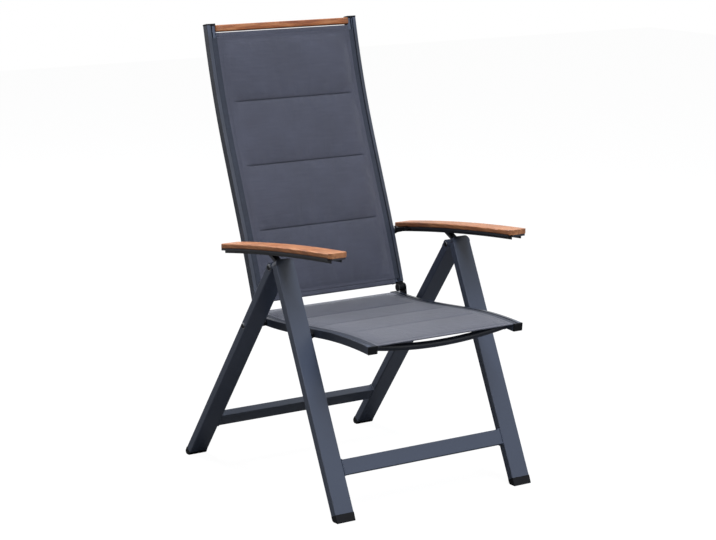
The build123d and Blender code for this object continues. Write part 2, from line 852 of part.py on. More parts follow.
def arm_channel():
    """Metal channel under the wooden arm, open below, with a flat tray that carries the wood."""
    low = channel_from_rear
    high = arm_length - channel_from_front
    outer = ribbon(arm_path, low, high, -channel_depth, 0, channel_inner, channel_outer)
    inner = ribbon(arm_path, low, high, -channel_depth, -channel_wall,
                   channel_inner + channel_wall, channel_outer - channel_wall)
    body = outer - inner
    nose = ribbon(arm_path, high, arm_length - tray_inset, -tray_thickness, 0,
                  arm_inner + arm_front_clip, arm_outer - arm_front_clip)
    inner_wing = ribbon(arm_path, bracket_length + side_gap, high, -tray_thickness, 0,
                        arm_inner + tray_inset, channel_inner)
    outer_wing = ribbon(arm_path, low, high, -tray_thickness, 0, channel_outer,
                        arm_outer - tray_inset)
    body = body + nose + inner_wing + outer_wing
    for along in arm_screw_places:
        body = body - arm_screw_shank(along, channel_depth / 2)
    return body


def arm_rack():
    """Notched rack inside the channel: each notch fits the strut's pin."""
    x_low = channel_inner + channel_wall + rack_gap
    x_high = channel_outer - channel_wall - rack_gap
    top = -channel_wall - rack_gap
    body = ribbon(arm_path, rack_start, rack_end, -rack_depth, top, x_low, x_high)
    slot_half = strut_width / 2 + rack_slot_side
    body = body - ribbon(arm_path, rack_start, rack_end, -rack_depth, top - rack_web,
                         leg_middle - slot_half, leg_middle + slot_half)
    for index in range(rack_notches):
        centre = spot(arm_path, rack_start + rack_pitch * (index + 0.5), -notch_centre)
        body = body - rod(centre, notch_radius, x_low, x_high)
    return body


def arm_screw_shank(along, below=channel_wall):
    """Round bar square to an arm, from inside its channel into the wood."""
    base = spot(arm_path, along, -below)
    tip = spot(arm_path, along, arm_screw_length - channel_wall)
    direction = Vector(0, tip[0] - base[0], tip[1] - base[1])
    plane = Plane(origin=(leg_middle, *base), z_dir=direction)
    return Solid.make_cylinder(arm_screw_radius, direction.length, plane)


def arm_screw(along):
    """Screw that holds the wooden arm on its channel."""
    base = spot(arm_path, along, -channel_wall)
    low = spot(arm_path, along, -channel_wall - arm_screw_head)
    direction = Vector(0, base[0] - low[0], base[1] - low[1])
    plane = Plane(origin=(leg_middle, *low), z_dir=direction)
    head = Solid.make_cylinder(arm_screw_head_radius, arm_screw_head, plane)
    return head + arm_screw_shank(along)


def build_front_frame():
    """Front legs with their heads, struts and saddles, and the front crossbar."""
    head = front_head()
    keep_pair("front_leg", front_leg())
    keep_pair("front_head", head)
    keep_pair("strut", strut(head))
    keep_pair("saddle", saddle())
    keep("front_crossbar", crossbar(front_leg_path, front_lean, front_floor,
                                    front_crossbar_centre))
    keep_both("front_foot_caps", foot_cap(front_leg_path, front_floor))
    pin_low = leg_middle - strut_pin_half_length
    pin_high = leg_middle + strut_pin_half_length
    keep_both("strut_pins", rod(strut_pin_place, strut_pin_radius, pin_low, pin_high))
    keep_both("apex_bolts", apex_bolt())
    keep_both("apex_washers", washer(apex, frame_half_width))


def build_rear_frame():
    """Rear legs with their heads and crossbar, and the bolts that the seat turns on."""
    keep_pair("rear_leg", rear_leg())
    keep_pair("rear_head", rear_head())
    keep("rear_crossbar", crossbar(rear_leg_path, rear_lean, rear_floor,
                                   rear_crossbar_centre))
    keep_both("rear_foot_caps", foot_cap(rear_leg_path, rear_floor))
    keep_both("seat_bolts", seat_bolt())
    keep_both("seat_bolt_washers", washer(seat_pivot, frame_half_width))
    keep_both("seat_spacers", seat_spacer())


def build_seat():
    """Seat rails, their cross tubes, caps, rests and hinge brackets, and the padded fabric."""
    keep_pair("seat_rail", seat_rail())
    keep("seat_front_tube", bow_tube())
    keep("seat_rear_tube", seat_rear_tube())
    keep_both("seat_rail_caps", end_cap(seat_path, seat_rail_length, 1),
              end_cap(seat_path, 0, -1))
    keep_both("rest_rollers", roller())
    keep_both("rest_bolts", rest_bolt())
    keep_pair("seat_hinge", seat_hinge())
    keep("seat_pad", pad(seat_path, 0, seat_rail_length))


def build_back():
    """Back rails, bands, wooden top bar, caps, hinge brackets and the padded fabric."""
    upper = back_length - upper_band_from_top - band_height
    pad_low = lower_band_from_foot + band_height + pad_gap
    keep_pair("back_rail", back_rail())
    keep("back_upper_band", band(upper))
    keep("back_lower_band", band(lower_band_from_foot))
    keep("back_top_bar", top_bar())
    keep_both("back_rail_caps", end_cap(back_path, back_length, 1))
    keep_pair("back_hinge", back_hinge())
    keep("back_pad", pad(back_path, pad_low, upper - pad_gap))
    keep_both("hinge_pins", hinge_pin())


def build_arms():
    """Both arms with their brackets, channels, racks and screws, and the pivot bolts."""
    keep_pair("arm_bolt", arm_bolt())
    keep_pair("arm_bracket", arm_bracket())
    keep_pair("arm_channel", arm_channel())
    keep_pair("arm_rack", arm_rack())
    keep_pair("arm_slab", arm_slab())
    screws = [arm_screw(along) for along in arm_screw_places]
    keep("arm_screws_left", *screws)
    keep("arm_screws_right", *(screw.mirror(Plane.YZ) for screw in screws))


def to_floor_centre():
    """Move that puts the origin on the floor below the middle of the whole chair."""
    boxes = [solid.bounding_box() for solids in pieces.values() for solid in solids]
    front = min(box.min.Y for box in boxes)
    rear = max(box.max.Y for box in boxes)
    return Location((0, -(front + rear) / 2, 0))


build_front_frame()
build_rear_frame()
build_seat()
build_back()
build_arms()
place = to_floor_centre()
for name, solids in pieces.items():
    placed = [solid.moved(place) for solid in solids]
    shape = placed[0] if len(placed) == 1 else Compound(children=placed)
    export_step(shape, f"parts/{name}.step")
print(f"{len(pieces)} nodes, moved by {place.position.Y:.3f} mm in Y")
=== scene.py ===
# %% [markdown]
# # A folding garden armchair
# The chair is an aluminium frame with a padded mesh sling for the seat and the
# back, and oiled hardwood on the arms and on the top bar. Its solid parts come
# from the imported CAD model, which is loaded as a fixed frame: it gives every
# piece its place, in metres, so nothing has to be fitted by eye. This script
# adds what a photograph shows and a CAD solid doesn't: quilted cloth, stitches,
# welds, hollow screw heads, and a finish for every surface.

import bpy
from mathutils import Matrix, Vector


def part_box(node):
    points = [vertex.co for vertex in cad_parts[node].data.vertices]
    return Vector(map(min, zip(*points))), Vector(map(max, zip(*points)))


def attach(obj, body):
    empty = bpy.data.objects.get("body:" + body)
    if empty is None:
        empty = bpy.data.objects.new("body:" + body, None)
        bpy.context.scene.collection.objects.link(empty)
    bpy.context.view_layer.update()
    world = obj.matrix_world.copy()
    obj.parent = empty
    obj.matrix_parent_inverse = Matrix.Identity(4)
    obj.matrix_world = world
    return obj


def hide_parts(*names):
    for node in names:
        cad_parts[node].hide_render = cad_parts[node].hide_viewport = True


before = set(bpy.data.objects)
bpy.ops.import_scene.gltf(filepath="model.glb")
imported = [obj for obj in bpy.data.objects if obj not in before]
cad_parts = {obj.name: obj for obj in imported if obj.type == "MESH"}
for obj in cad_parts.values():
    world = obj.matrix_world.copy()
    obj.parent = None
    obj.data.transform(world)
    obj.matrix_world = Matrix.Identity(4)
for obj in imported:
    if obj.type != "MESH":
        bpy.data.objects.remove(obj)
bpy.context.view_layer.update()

# %% Bring in the tools
import math

import bmesh
import bpy
import numpy as np
from mathutils import Vector, geometry
from mathutils.bvhtree import BVHTree

MM = 0.001


# %% Put data into the scene
def link_object(name, data):
    """New object for a mesh, lamp or camera, linked to the scene."""
    item = bpy.data.objects.new(name, data)
    bpy.context.scene.collection.objects.link(item)
    return item


def take_shape(mesh, shape):
    """Write a finished shape into a mesh and free it."""
    shape.to_mesh(mesh)
    shape.free()


def apply_modifiers(item):
    """Turn an object with modifiers into a plain mesh."""
    graph = bpy.context.evaluated_depsgraph_get()
    item.data = bpy.data.meshes.new_from_object(item.evaluated_get(graph))
    item.modifiers.clear()
    item.data.name = item.name


# %% [markdown]
# ## The stage
# Catalogue pictures of garden furniture are taken from a few metres away with a
# long lens, so that upright legs stay nearly parallel. The camera here stands
# 5.4 m from the chair, a little above the arms and a third of the way round to
# the chair's right-hand side. A lens of 109 mm then fills the frame, and a
# small shift puts the chair where the photographer had it.

# %% Place the camera
PHOTO_WIDTH, PHOTO_HEIGHT = 716, 540
FOCAL_PIXELS = 2170.3
CENTRE_X, CENTRE_Y = 369.3, 270.9
AZIMUTH, ELEVATION, DISTANCE = math.radians(-34.494), math.radians(11.544), 5.38166
LOOK_AT = Vector((0, -0.04884, 0.5246))

towards_camera = Vector((
    math.sin(AZIMUTH) * math.cos(ELEVATION),
    -math.cos(AZIMUTH) * math.cos(ELEVATION),
    math.sin(ELEVATION),
))
camera_data = bpy.data.cameras.new("photo_camera")
camera_data.sensor_width = 36
camera_data.lens = FOCAL_PIXELS * 36 / PHOTO_WIDTH
camera_data.shift_x = (PHOTO_WIDTH / 2 - CENTRE_X) / PHOTO_WIDTH
camera_data.shift_y = (CENTRE_Y - PHOTO_HEIGHT / 2) / PHOTO_WIDTH
camera = link_object("photo_camera", camera_data)
camera.location = LOOK_AT + towards_camera * DISTANCE
camera.rotation_euler = towards_camera.to_track_quat("Z", "Y").to_euler()
bpy.context.scene.camera = camera
bpy.context.scene.view_settings.view_transform = "Standard"
print("camera at", [round(v, 3) for v in camera.location], "lens", round(camera_data.lens, 1))

# %% [markdown]
# ## Colours and nodes
# Paint charts and photographs give colours as sRGB hex values, while shaders
# mix light in linear values. One function turns the first into the second. A
# second function adds any shader node, with its settings and its links, so that
# each material below reads like a recipe.


# %% Turn hex colours to linear
def colour(hex_value):
    """Linear RGBA of an sRGB hex colour."""
    channels = [int(hex_value[i:i + 2], 16) / 255 for i in (1, 3, 5)]
    linear = [c / 12.92 if c <= 0.04045 else ((c + 0.055) / 1.055) ** 2.4 for c in channels]
    return (*linear, 1.0)


# %% Add a node with its settings and links
def add(tree, kind, settings=None, **inputs):
    """New node. Inputs are values or sockets; a name like in_0 is a socket's number."""
    node = tree.nodes.new(kind)
    for name, value in (settings or {}).items():
        setattr(node, name, value)
    for name, value in inputs.items():
        key = int(name[3:]) if name.startswith("in_") else name.replace("_", " ")
        socket = node.inputs[key]
        if isinstance(value, bpy.types.NodeSocket):
            tree.links.new(value, socket)
        else:
            socket.default_value = value
    return node


# %% Start a material from its surface
def new_material(name, **surface):
    """Material with one Principled surface. Returns (material, tree, surface node)."""
    material = bpy.data.materials.new(name)
    material.use_nodes = True
    tree = material.node_tree
    tree.nodes.clear()
    shader = add(tree, "ShaderNodeBsdfPrincipled", None, **surface)
    add(tree, "ShaderNodeOutputMaterial", None, Surface=shader.outputs[0])
    return material, tree, shader


# %% Drive a socket of the surface
def drive(tree, shader, name, socket):
    """Link a socket to an input of the surface node."""
    tree.links.new(socket, shader.inputs[name])


# %% Shorten the four commonest nodes
def noise(tree, place, scale, detail, **more):
    """Noise at a place, with so many repeats a metre."""
    return add(tree, "ShaderNodeTexNoise", None, Vector=place, Scale=scale, Detail=detail,
               **more)


def remap(tree, value, **bounds):
    """Value carried from one range to another. A bound left out is 0 or 1."""
    return add(tree, "ShaderNodeMapRange", None, Value=value, **bounds)


def blend(tree, share, first, second):
    """Two colours mixed by a share. The result is output 2."""
    return add(tree, "ShaderNodeMix", {"data_type": "RGBA"}, in_0=share, in_6=first,
               in_7=second)


def maths(tree, operation, *values):
    """One sum on one or two values."""
    return add(tree, "ShaderNodeMath", {"operation": operation},
               **{f"in_{i}": value for i, value in enumerate(values)})


# %% [markdown]
# ## Floor and light
# The picture's ground is pure white. The floor is a plain diffuse sheet of grey
# paper that throws little light up, and camera rays alone get white added to
# it, so that it reads as white and still keeps a faint shadow at the feet.
#
# The seat is the lightest cloth, the front faces of the legs come next, and the
# faces that lean down are nearly black. So the main lamp hangs high in front,
# 54 degrees up, and a second one behind it reaches only what faces up. A weak
# warm lamp on the left keeps the outer sides of the legs from going black.

# %% Build the floor
floor_mesh = bpy.data.meshes.new("studio_floor")
shape = bmesh.new()
bmesh.ops.create_grid(shape, x_segments=1, y_segments=1, size=9)
take_shape(floor_mesh, shape)
floor = link_object("studio_floor", floor_mesh)
floor.location.z = -0.0005

# %% Paint the floor
floor_paint = bpy.data.materials.new("matt_white_studio_floor")
floor_paint.use_nodes = True
tree = floor_paint.node_tree
tree.nodes.clear()
paper = add(tree, "ShaderNodeBsdfDiffuse", None, Color=colour("#777777"))
glow = add(tree, "ShaderNodeEmission", None, Color=(1, 1, 1, 1), Strength=1.62)
rays = add(tree, "ShaderNodeLightPath")
share = maths(tree, "MULTIPLY", rays.outputs["Is Camera Ray"], 0.6)
mix = add(tree, "ShaderNodeMixShader", None, Fac=share.outputs[0],
          in_1=paper.outputs[0], in_2=glow.outputs[0])
add(tree, "ShaderNodeOutputMaterial", None, Surface=mix.outputs[0])
floor_mesh.materials.append(floor_paint)

# %% Light the world
world = bpy.data.worlds.new("white_studio")
bpy.context.scene.world = world
world.use_nodes = True
tree = world.node_tree
tree.nodes.clear()
rays = add(tree, "ShaderNodeLightPath")
seen = maths(tree, "MAXIMUM", rays.outputs["Is Camera Ray"],
             rays.outputs["Is Transmission Ray"])
seen = maths(tree, "MAXIMUM", seen.outputs[0], rays.outputs["Is Glossy Ray"])
strength = remap(tree, seen.outputs[0], To_Min=0.06, To_Max=1.0)
sky = add(tree, "ShaderNodeBackground", None, Color=(1, 1, 1, 1),
          Strength=strength.outputs[0])
add(tree, "ShaderNodeOutputWorld", None, Surface=sky.outputs[0])


# %% Hang the lamps
AIM = Vector((0, 0, 0.55))


def lamp(name, place, size, power, tint="#ffffff"):
    """Square soft lamp at a place, facing the chair."""
    data = bpy.data.lights.new(name, "AREA")
    data.size = size
    data.energy = power
    data.color = colour(tint)[:3]
    item = link_object(name, data)
    item.location = place
    item.rotation_euler = (Vector(place) - AIM).to_track_quat("Z", "Y").to_euler()


lamp("key_high_front", (0.15, -2.4, 3.8), 2.3, 152, "#e4ecff")
lamp("fill_left", (-4.5, -0.9, 1.5), 2.5, 10, "#fff0e0")
lamp("top_behind", (-0.6, 2.8, 4.2), 2.4, 230, "#f6f8ff")

# %% [markdown]
# ## The finishes
# Every finish starts from what the real part is made of and how its surface was
# made. Patterns read object coordinates in metres, so a scale of 1000 would be
# one repeat a millimetre, and each scale is worked out from a real size.


# %% Read a place on the piece
def object_place(tree, turn=(0, 0, 0), stretch=(1, 1, 1)):
    """Object coordinates, turned and stretched."""
    place = add(tree, "ShaderNodeTexCoord")
    mapping = add(tree, "ShaderNodeMapping", None, Vector=place.outputs["Object"],
                  Rotation=turn, Scale=stretch)
    return mapping.outputs[0]


# %% [markdown]
# ### Powder-coated aluminium
# The tubes are sprayed with a dry anthracite powder that melts into a skin
# about 0.08 mm thick. It gives a satin surface with a fine orange peel, some
# 3 mm from bump to bump, and a fine grit. The coat is paint, so the surface is
# not metallic. Its outer edges carry a painted highlight that makes them a little lighter.


# %% Make the powder coats
def powder_coat(name, base, pale, rough):
    """Satin powder coat with orange peel, grit and a painted highlight on its edges."""
    material, tree, shader = new_material(name, Roughness=rough, IOR=1.5)
    place = object_place(tree)
    cloud = noise(tree, place, 14.0, 3.0)
    peel = noise(tree, place, 330.0, 2.0)
    grit = noise(tree, place, 1600.0, 1.0)
    # Painted highlight: pointy edges are tinted toward the pale colour, as if the edges caught
    # the light.
    surface_geometry = add(tree, "ShaderNodeNewGeometry")
    edge = add(tree, "ShaderNodeMapRange", {"interpolation_type": "SMOOTHSTEP"},
               Value=surface_geometry.outputs["Pointiness"], From_Min=0.52, From_Max=0.60)
    tone = remap(tree, cloud.outputs[0], From_Min=0.3, From_Max=0.7, To_Max=0.3)
    tone_and_edge_highlight = maths(tree, "MAXIMUM", tone.outputs[0], edge.outputs[0])
    tint = blend(tree, tone_and_edge_highlight.outputs[0], colour(base), colour(pale))
    drive(tree, shader, "Base Color", tint.outputs[2])
    gloss = remap(tree, grit.outputs[0], To_Min=rough - 0.05, To_Max=rough + 0.07)
    drive(tree, shader, "Roughness", gloss.outputs[0])
    first = add(tree, "ShaderNodeBump", None, Height=peel.outputs[0], Strength=0.10,
                Distance=0.0004)
    second = add(tree, "ShaderNodeBump", None, Height=grit.outputs[0], Strength=0.12,
                 Distance=0.00008, Normal=first.outputs[0])
    drive(tree, shader, "Normal", second.outputs[0])
    return material


tube_coat = powder_coat("powder_coated_aluminium_tube", "#30353f", "#4c5463", 0.36)
cast_coat = powder_coat("powder_coated_cast_aluminium", "#30353f", "#505867", 0.38)
strut_coat = powder_coat("black_powder_coated_aluminium_bar", "#16171a", "#2b2d32", 0.45)
print("powder coats made")

# %% [markdown]
# ### Moulded polyamide
# Foot caps, brackets, hinges and the notched racks are moulded in nylon filled
# with glass fibre. Such a part is black with a spark-eroded grain of about
# half a millimetre, and it has a soft gloss on the high spots.

# %% Make the moulded nylon
nylon, tree, shader = new_material("moulded_glass_filled_polyamide", Roughness=0.5, IOR=1.53)
shader.inputs["Specular IOR Level"].default_value = 0.15
place = object_place(tree)
cloud = noise(tree, place, 30.0, 3.0)
grain = add(tree, "ShaderNodeTexVoronoi", {"feature": "SMOOTH_F1"}, Vector=place, Scale=1900.0)
tint = blend(tree, cloud.outputs[0], colour("#0c0d0e"), colour("#1a1b1e"))
drive(tree, shader, "Base Color", tint.outputs[2])
gloss = remap(tree, cloud.outputs[0], To_Min=0.42, To_Max=0.62)
drive(tree, shader, "Roughness", gloss.outputs[0])
bump = add(tree, "ShaderNodeBump", None, Height=grain.outputs[0], Strength=0.25,
           Distance=0.0001)
drive(tree, shader, "Normal", bump.outputs[0])

# %% [markdown]
# ### Stainless steel
# The pins of the struts and the screws and bolts of the arms and seat rests
# are turned from stainless bar. The lathe
# leaves rings about 0.2 mm apart, which spread a highlight sideways.

# %% Make the turned steel
steel, tree, shader = new_material("turned_stainless_steel", Metallic=1.0, Roughness=0.34)
place = object_place(tree)
cloud = noise(tree, place, 160.0, 4.0)
rings = noise(tree, object_place(tree, stretch=(6.0, 1.0, 1.0)), 900.0, 2.0)
tint = blend(tree, cloud.outputs[0], colour("#8d9094"), colour("#c2c4c6"))
drive(tree, shader, "Base Color", tint.outputs[2])
gloss = remap(tree, rings.outputs[0], To_Min=0.24, To_Max=0.46)
drive(tree, shader, "Roughness", gloss.outputs[0])
bump = add(tree, "ShaderNodeBump", None, Height=rings.outputs[0], Strength=0.15,
           Distance=0.00005)
drive(tree, shader, "Normal", bump.outputs[0])

# %% [markdown]
# ### Blackened screws
# Leg bolts, washers and hinge pins are blackened, and only the rim that a key or
# thumb has rubbed shows the steel. The Geometry node's Pointiness finds that rim.

# %% Make the blackened steel
bolt_steel, tree, shader = new_material("blackened_steel_screw", Metallic=1.0, Roughness=0.38)
place = object_place(tree)
cloud = noise(tree, place, 240.0, 3.0)
surface_geometry = add(tree, "ShaderNodeNewGeometry")
rim = remap(tree, surface_geometry.outputs["Pointiness"], From_Min=0.53, From_Max=0.62)
black = blend(tree, cloud.outputs[0], colour("#1e1f21"), colour("#2f3033"))
pale_edge_mix = blend(tree, rim.outputs[0], black.outputs[2], colour("#8e9092"))
drive(tree, shader, "Base Color", pale_edge_mix.outputs[2])
gloss = remap(tree, cloud.outputs[0], To_Min=0.3, To_Max=0.5)
drive(tree, shader, "Roughness", gloss.outputs[0])

# %% [markdown]
# ### Oiled hardwood
# The arms and the top bar are planed from a red-brown hardwood and oiled. The
# board shows growth bands 3 to 8 mm wide that run along it, short dark pores
# about 0.3 mm wide and 8 mm long, and slow changes from orange to brown. Oil
# sinks in, so the gloss is low, and the edges carry a paler painted highlight.


# %% Make the oiled wood
def hardwood(name, turn, along, edge_highlight):
    """Oiled hardwood whose grain runs along an axis of the turned coordinates."""
    material, tree, shader = new_material(name, Roughness=0.46, IOR=1.48)
    long_way = [1.0 if axis == along else 9.0 for axis in range(3)]
    pore_way = [1.0 if axis == along else 22.0 for axis in range(3)]
    band_place = object_place(tree, turn, long_way)
    pore_place = object_place(tree, turn, pore_way)
    slow = noise(tree, band_place, 4.0, 4.0, Distortion=0.6)
    bands = noise(tree, band_place, 19.0, 5.0, Distortion=0.3)
    pores = noise(tree, pore_place, 75.0, 2.0)
    ramp = add(tree, "ShaderNodeValToRGB", None, Fac=bands.outputs[0])
    marks = ramp.color_ramp.elements
    marks[0].position, marks[0].color = 0.32, colour("#8f4e27")
    marks[1].position, marks[1].color = 0.68, colour("#d3935f")
    middle = marks.new(0.5)
    middle.color = colour("#bb7542")
    warm = add(tree, "ShaderNodeMix", {"data_type": "RGBA", "blend_type": "MULTIPLY"},
               in_0=0.5, in_6=ramp.outputs[0])
    slow_ramp = add(tree, "ShaderNodeValToRGB", None, Fac=slow.outputs[0])
    slow_ramp.color_ramp.elements[0].position = 0.35
    slow_ramp.color_ramp.elements[0].color = colour("#cfa68a")
    slow_ramp.color_ramp.elements[1].position = 0.65
    slow_ramp.color_ramp.elements[1].color = colour("#fff4ea")
    tree.links.new(slow_ramp.outputs[0], warm.inputs[7])
    pore = remap(tree, pores.outputs[0], From_Min=0.60, From_Max=0.72)
    dark = blend(tree, pore.outputs[0], warm.outputs[2], colour("#5e2f14"))
    # Painted highlight: pointy edges are tinted toward #ecb98f, as if the rounded edges caught
    # the light.
    surface_geometry = add(tree, "ShaderNodeNewGeometry")
    edge = add(tree, "ShaderNodeMapRange", {"interpolation_type": "SMOOTHSTEP"},
               Value=surface_geometry.outputs["Pointiness"], From_Min=0.51, From_Max=0.57, To_Max=edge_highlight)
    pale_edge_mix = blend(tree, edge.outputs[0], dark.outputs[2], colour("#ecb98f"))
    drive(tree, shader, "Base Color", pale_edge_mix.outputs[2])
    gloss = remap(tree, bands.outputs[0], To_Min=0.38, To_Max=0.58)
    drive(tree, shader, "Roughness", gloss.outputs[0])
    first = add(tree, "ShaderNodeBump", None, Height=bands.outputs[0], Strength=0.2,
                Distance=0.0003)
    second = add(tree, "ShaderNodeBump", {"invert": True}, Height=pore.outputs[0],
                 Strength=0.5, Distance=0.0002, Normal=first.outputs[0])
    drive(tree, shader, "Normal", second.outputs[0])
    return material


# The last number is the share of painted highlight on the edges.
arm_wood = hardwood("oiled_hardwood_arm", (math.radians(6.1), 0, 0), 1, 0.2)
bar_wood = hardwood("oiled_hardwood_bar", (0, 0, 0), 0, 0.12)
print("woods made")

# %% [markdown]
# ### Coated mesh fabric
# The sling is woven from polyester threads in a soft plastic coat. Threads lie
# about 1.1 mm apart, finer than a pixel of the picture, so the pattern is drawn
# at 2.2 mm, where it just shows as the fine cross-hatch of the photograph. The
# weave has to follow the cloth over its panels, so it reads a UV map in metres
# that is made together with the mesh.

# %% Make the woven mesh
THREAD_PITCH = 2.2 * MM


def woven(name, weft, warp, gap, sheen):
    """Cloth of two coated threads, crossed at a pitch read from the UV map."""
    material, tree, shader = new_material(name, Roughness=0.62, IOR=1.45)
    shader.inputs["Sheen Roughness"].default_value = 0.49
    uv = add(tree, "ShaderNodeUVMap", {"uv_map": "cloth_metres"})
    wobble = noise(tree, uv.outputs[0], 70.0, 2.0)
    shift = add(tree, "ShaderNodeVectorMath", {"operation": "MULTIPLY_ADD"},
                in_0=wobble.outputs["Color"], in_1=(0.0006, 0.0006, 0), in_2=uv.outputs[0])
    apart = add(tree, "ShaderNodeSeparateXYZ", None, Vector=shift.outputs[0])
    waves = []
    for axis in (0, 1):
        turns = maths(tree, "MULTIPLY", apart.outputs[axis], math.pi / THREAD_PITCH)
        waves.append(maths(tree, "SINE", turns.outputs[0]))
    round_u = maths(tree, "ABSOLUTE", waves[0].outputs[0])
    round_v = maths(tree, "ABSOLUTE", waves[1].outputs[0])
    over = maths(tree, "MULTIPLY", waves[0].outputs[0], waves[1].outputs[0])
    top = maths(tree, "GREATER_THAN", over.outputs[0], 0.0)
    height = add(tree, "ShaderNodeMix", {"data_type": "FLOAT"}, in_0=top.outputs[0],
                 in_2=round_u.outputs[0], in_3=round_v.outputs[0])
    thread = blend(tree, top.outputs[0], colour(weft), colour(warp))
    low = remap(tree, height.outputs[0], From_Min=0.05, From_Max=0.55)
    cloth = blend(tree, low.outputs[0], colour(gap), thread.outputs[2])
    streak = add(tree, "ShaderNodeMapping", None, Vector=uv.outputs[0], Scale=(1.0, 16.0, 1.0))
    lines = noise(tree, streak.outputs[0], 16.0, 4.0)
    slow = noise(tree, uv.outputs[0], 9.0, 3.0)
    both = maths(tree, "ADD", lines.outputs[0], slow.outputs[0])
    shade = remap(tree, both.outputs[0], From_Min=0.7, From_Max=1.3, To_Min=0.80, To_Max=1.20)
    even = add(tree, "ShaderNodeMix", {"data_type": "RGBA", "blend_type": "MULTIPLY"},
               in_0=1.0, in_6=cloth.outputs[2], in_7=shade.outputs[0])
    # Painted shade: the seam_shade attribute darkens the cloth toward #191a20 in the pulled-in
    # creases along the seams, where shade falls, and takes the sheen away there.
    seam = add(tree, "ShaderNodeAttribute", {"attribute_name": "seam_shade"})
    painted_crease_shade = maths(tree, "MULTIPLY", seam.outputs["Fac"], 0.75)
    final = blend(tree, painted_crease_shade.outputs[0], even.outputs[2], colour("#191a20"))
    drive(tree, shader, "Base Color", final.outputs[2])
    flat = remap(tree, seam.outputs["Fac"], To_Min=sheen, To_Max=0.0)
    drive(tree, shader, "Sheen Weight", flat.outputs[0])
    gloss = remap(tree, height.outputs[0], To_Min=0.78, To_Max=0.55)
    drive(tree, shader, "Roughness", gloss.outputs[0])
    bump = add(tree, "ShaderNodeBump", None, Height=height.outputs[0], Strength=0.45,
               Distance=0.0005)
    drive(tree, shader, "Normal", bump.outputs[0])
    return material


mesh_cloth = woven("coated_polyester_mesh", "#3f414d", "#555765", "#1f2028", 0.85)
edge_tape = woven("keder_edge_tape", "#272d38", "#333a47", "#171a20", 0.1)
hem_cloth = woven("folded_mesh_hem", "#4a4c57", "#595b67", "#26272d", 0.25)

# %% [markdown]
# ### Sewing thread and keder cord
# The seams are sewn with a bonded polyester thread of about 0.8 mm, a little
# glossier than the cloth. The plastic cord inside each side hem, which slides
# in the rail's groove, is covered by the same dark tape.

# %% Make the thread
thread, tree, shader = new_material("bonded_polyester_thread", Roughness=0.5, IOR=1.5)
place = object_place(tree)
twist = add(tree, "ShaderNodeTexWave", {"wave_type": "BANDS", "bands_direction": "DIAGONAL"},
            Vector=place, Scale=700.0, Distortion=1.0)
tint = blend(tree, twist.outputs["Fac"], colour("#3a3c46"), colour("#62656f"))
drive(tree, shader, "Base Color", tint.outputs[2])
bump = add(tree, "ShaderNodeBump", None, Height=twist.outputs["Fac"], Strength=0.4,
           Distance=0.0001)
drive(tree, shader, "Normal", bump.outputs[0])

# %% [markdown]
# ## Finishes on the CAD parts
# The tubes, castings, mouldings and boards have their right shapes already, so
# they keep their CAD solids. Each one gets its finish by name.

# %% Give each CAD part its finish
MOULDED = ("cap", "saddle", "roller", "hinge", "spacer", "bracket", "rack")
FINISHES = (
    ("_pad", mesh_cloth),
    ("arm_slab", arm_wood),
    ("back_top_bar", bar_wood),
    ("strut_pins", steel),
    ("strut_", strut_coat),
    ("bolt", steel),
    ("washer", bolt_steel),
    ("screw", steel),
    ("hinge_pins", bolt_steel),
    ("arm_channel", strut_coat),
    ("front_head", cast_coat),
    ("rear_head", cast_coat),
    *((part, nylon) for part in MOULDED),
    ("", tube_coat),
)
for name, node in sorted(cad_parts.items()):
    finish = next(item for part, item in FINISHES if part in name)
    if not node.material_slots:
        node.data.materials.append(finish)
    for slot in node.material_slots:
        slot.material = finish
print("finishes given to", len(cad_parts), "CAD parts")

# %% Round the edges of mouldings
for name, width in (("seat_rail_caps", 1.6), ("back_rail_caps", 1.2)):
    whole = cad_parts[name].modifiers.new("joined_faces", "WELD")
    whole.merge_threshold = 0.01 * MM
    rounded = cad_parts[name].modifiers.new("moulded_edges", "BEVEL")
    rounded.width = width * MM
    rounded.segments = 3
    rounded.limit_method = "ANGLE"
    rounded.angle_limit = math.radians(40)

# %% [markdown]
# ## The lines of seat and back
# Seen from the side, the seat is a gentle wave and the back a long bow. Both
# are drawn as a chain of round and straight pieces, so any place on them is a
# distance along the line and a distance off it. The cloth, its seams and its
# stitches are all placed this way.

# %% Describe the two lines
SHIFT = -45.837 * MM
SEAT_LINE = ((190.03 * MM, 402.98 * MM), 183.44, ((190, -8.3), (125, 0), (202, 9.73)), -1)
BACK_LINE = ((176.53 * MM, 440.98 * MM), 72.5, ((227, -3.5), (155, 0), (326, 9.0)), 1)


# %% Find a place beside a line
def beside(line, along, off):
    """Point (y, z) at a distance along a line and a distance off it, in metres."""
    (y, z), heading, pieces, side = line
    angle = math.radians(heading)
    for index, (length, turn) in enumerate(pieces):
        length = length * MM
        step = along if index == len(pieces) - 1 else min(along, length)
        rate = math.radians(turn) / length
        if turn:
            y += (math.sin(angle + rate * step) - math.sin(angle)) / rate
            z -= (math.cos(angle + rate * step) - math.cos(angle)) / rate
        else:
            y += math.cos(angle) * step
            z += math.sin(angle) * step
        angle += rate * step
        along -= step
        if along <= 0:
            break
    return y - side * math.sin(angle) * off + SHIFT, z + side * math.cos(angle) * off


print("seat rear edge:", [round(v, 4) for v in beside(SEAT_LINE, 0, 0)])


# %% [markdown]
# ## Padded slings
# Each sling is two layers of mesh with thin foam between them, sewn together
# across the chair into four panels. The seams stop 23 mm short of the rails,
# where the foam ends and a flat border begins. Only that border runs on into
# the rail, so it stays flat and tight.
#
# Cloth simulation gives the panels their form. The blank is a flat closed form
# with its seams and borders held, and pressure blows the panels up between
# them. A voxel remesh would erase a sheet this thin, so the blank is drawn as
# an even grid of 6 mm squares from the start, and a plain grid also keeps the
# UV map that the weave needs. The pressed form is then limited, softly, to the
# thickness of the real foam, because cloth under pressure alone would balloon.

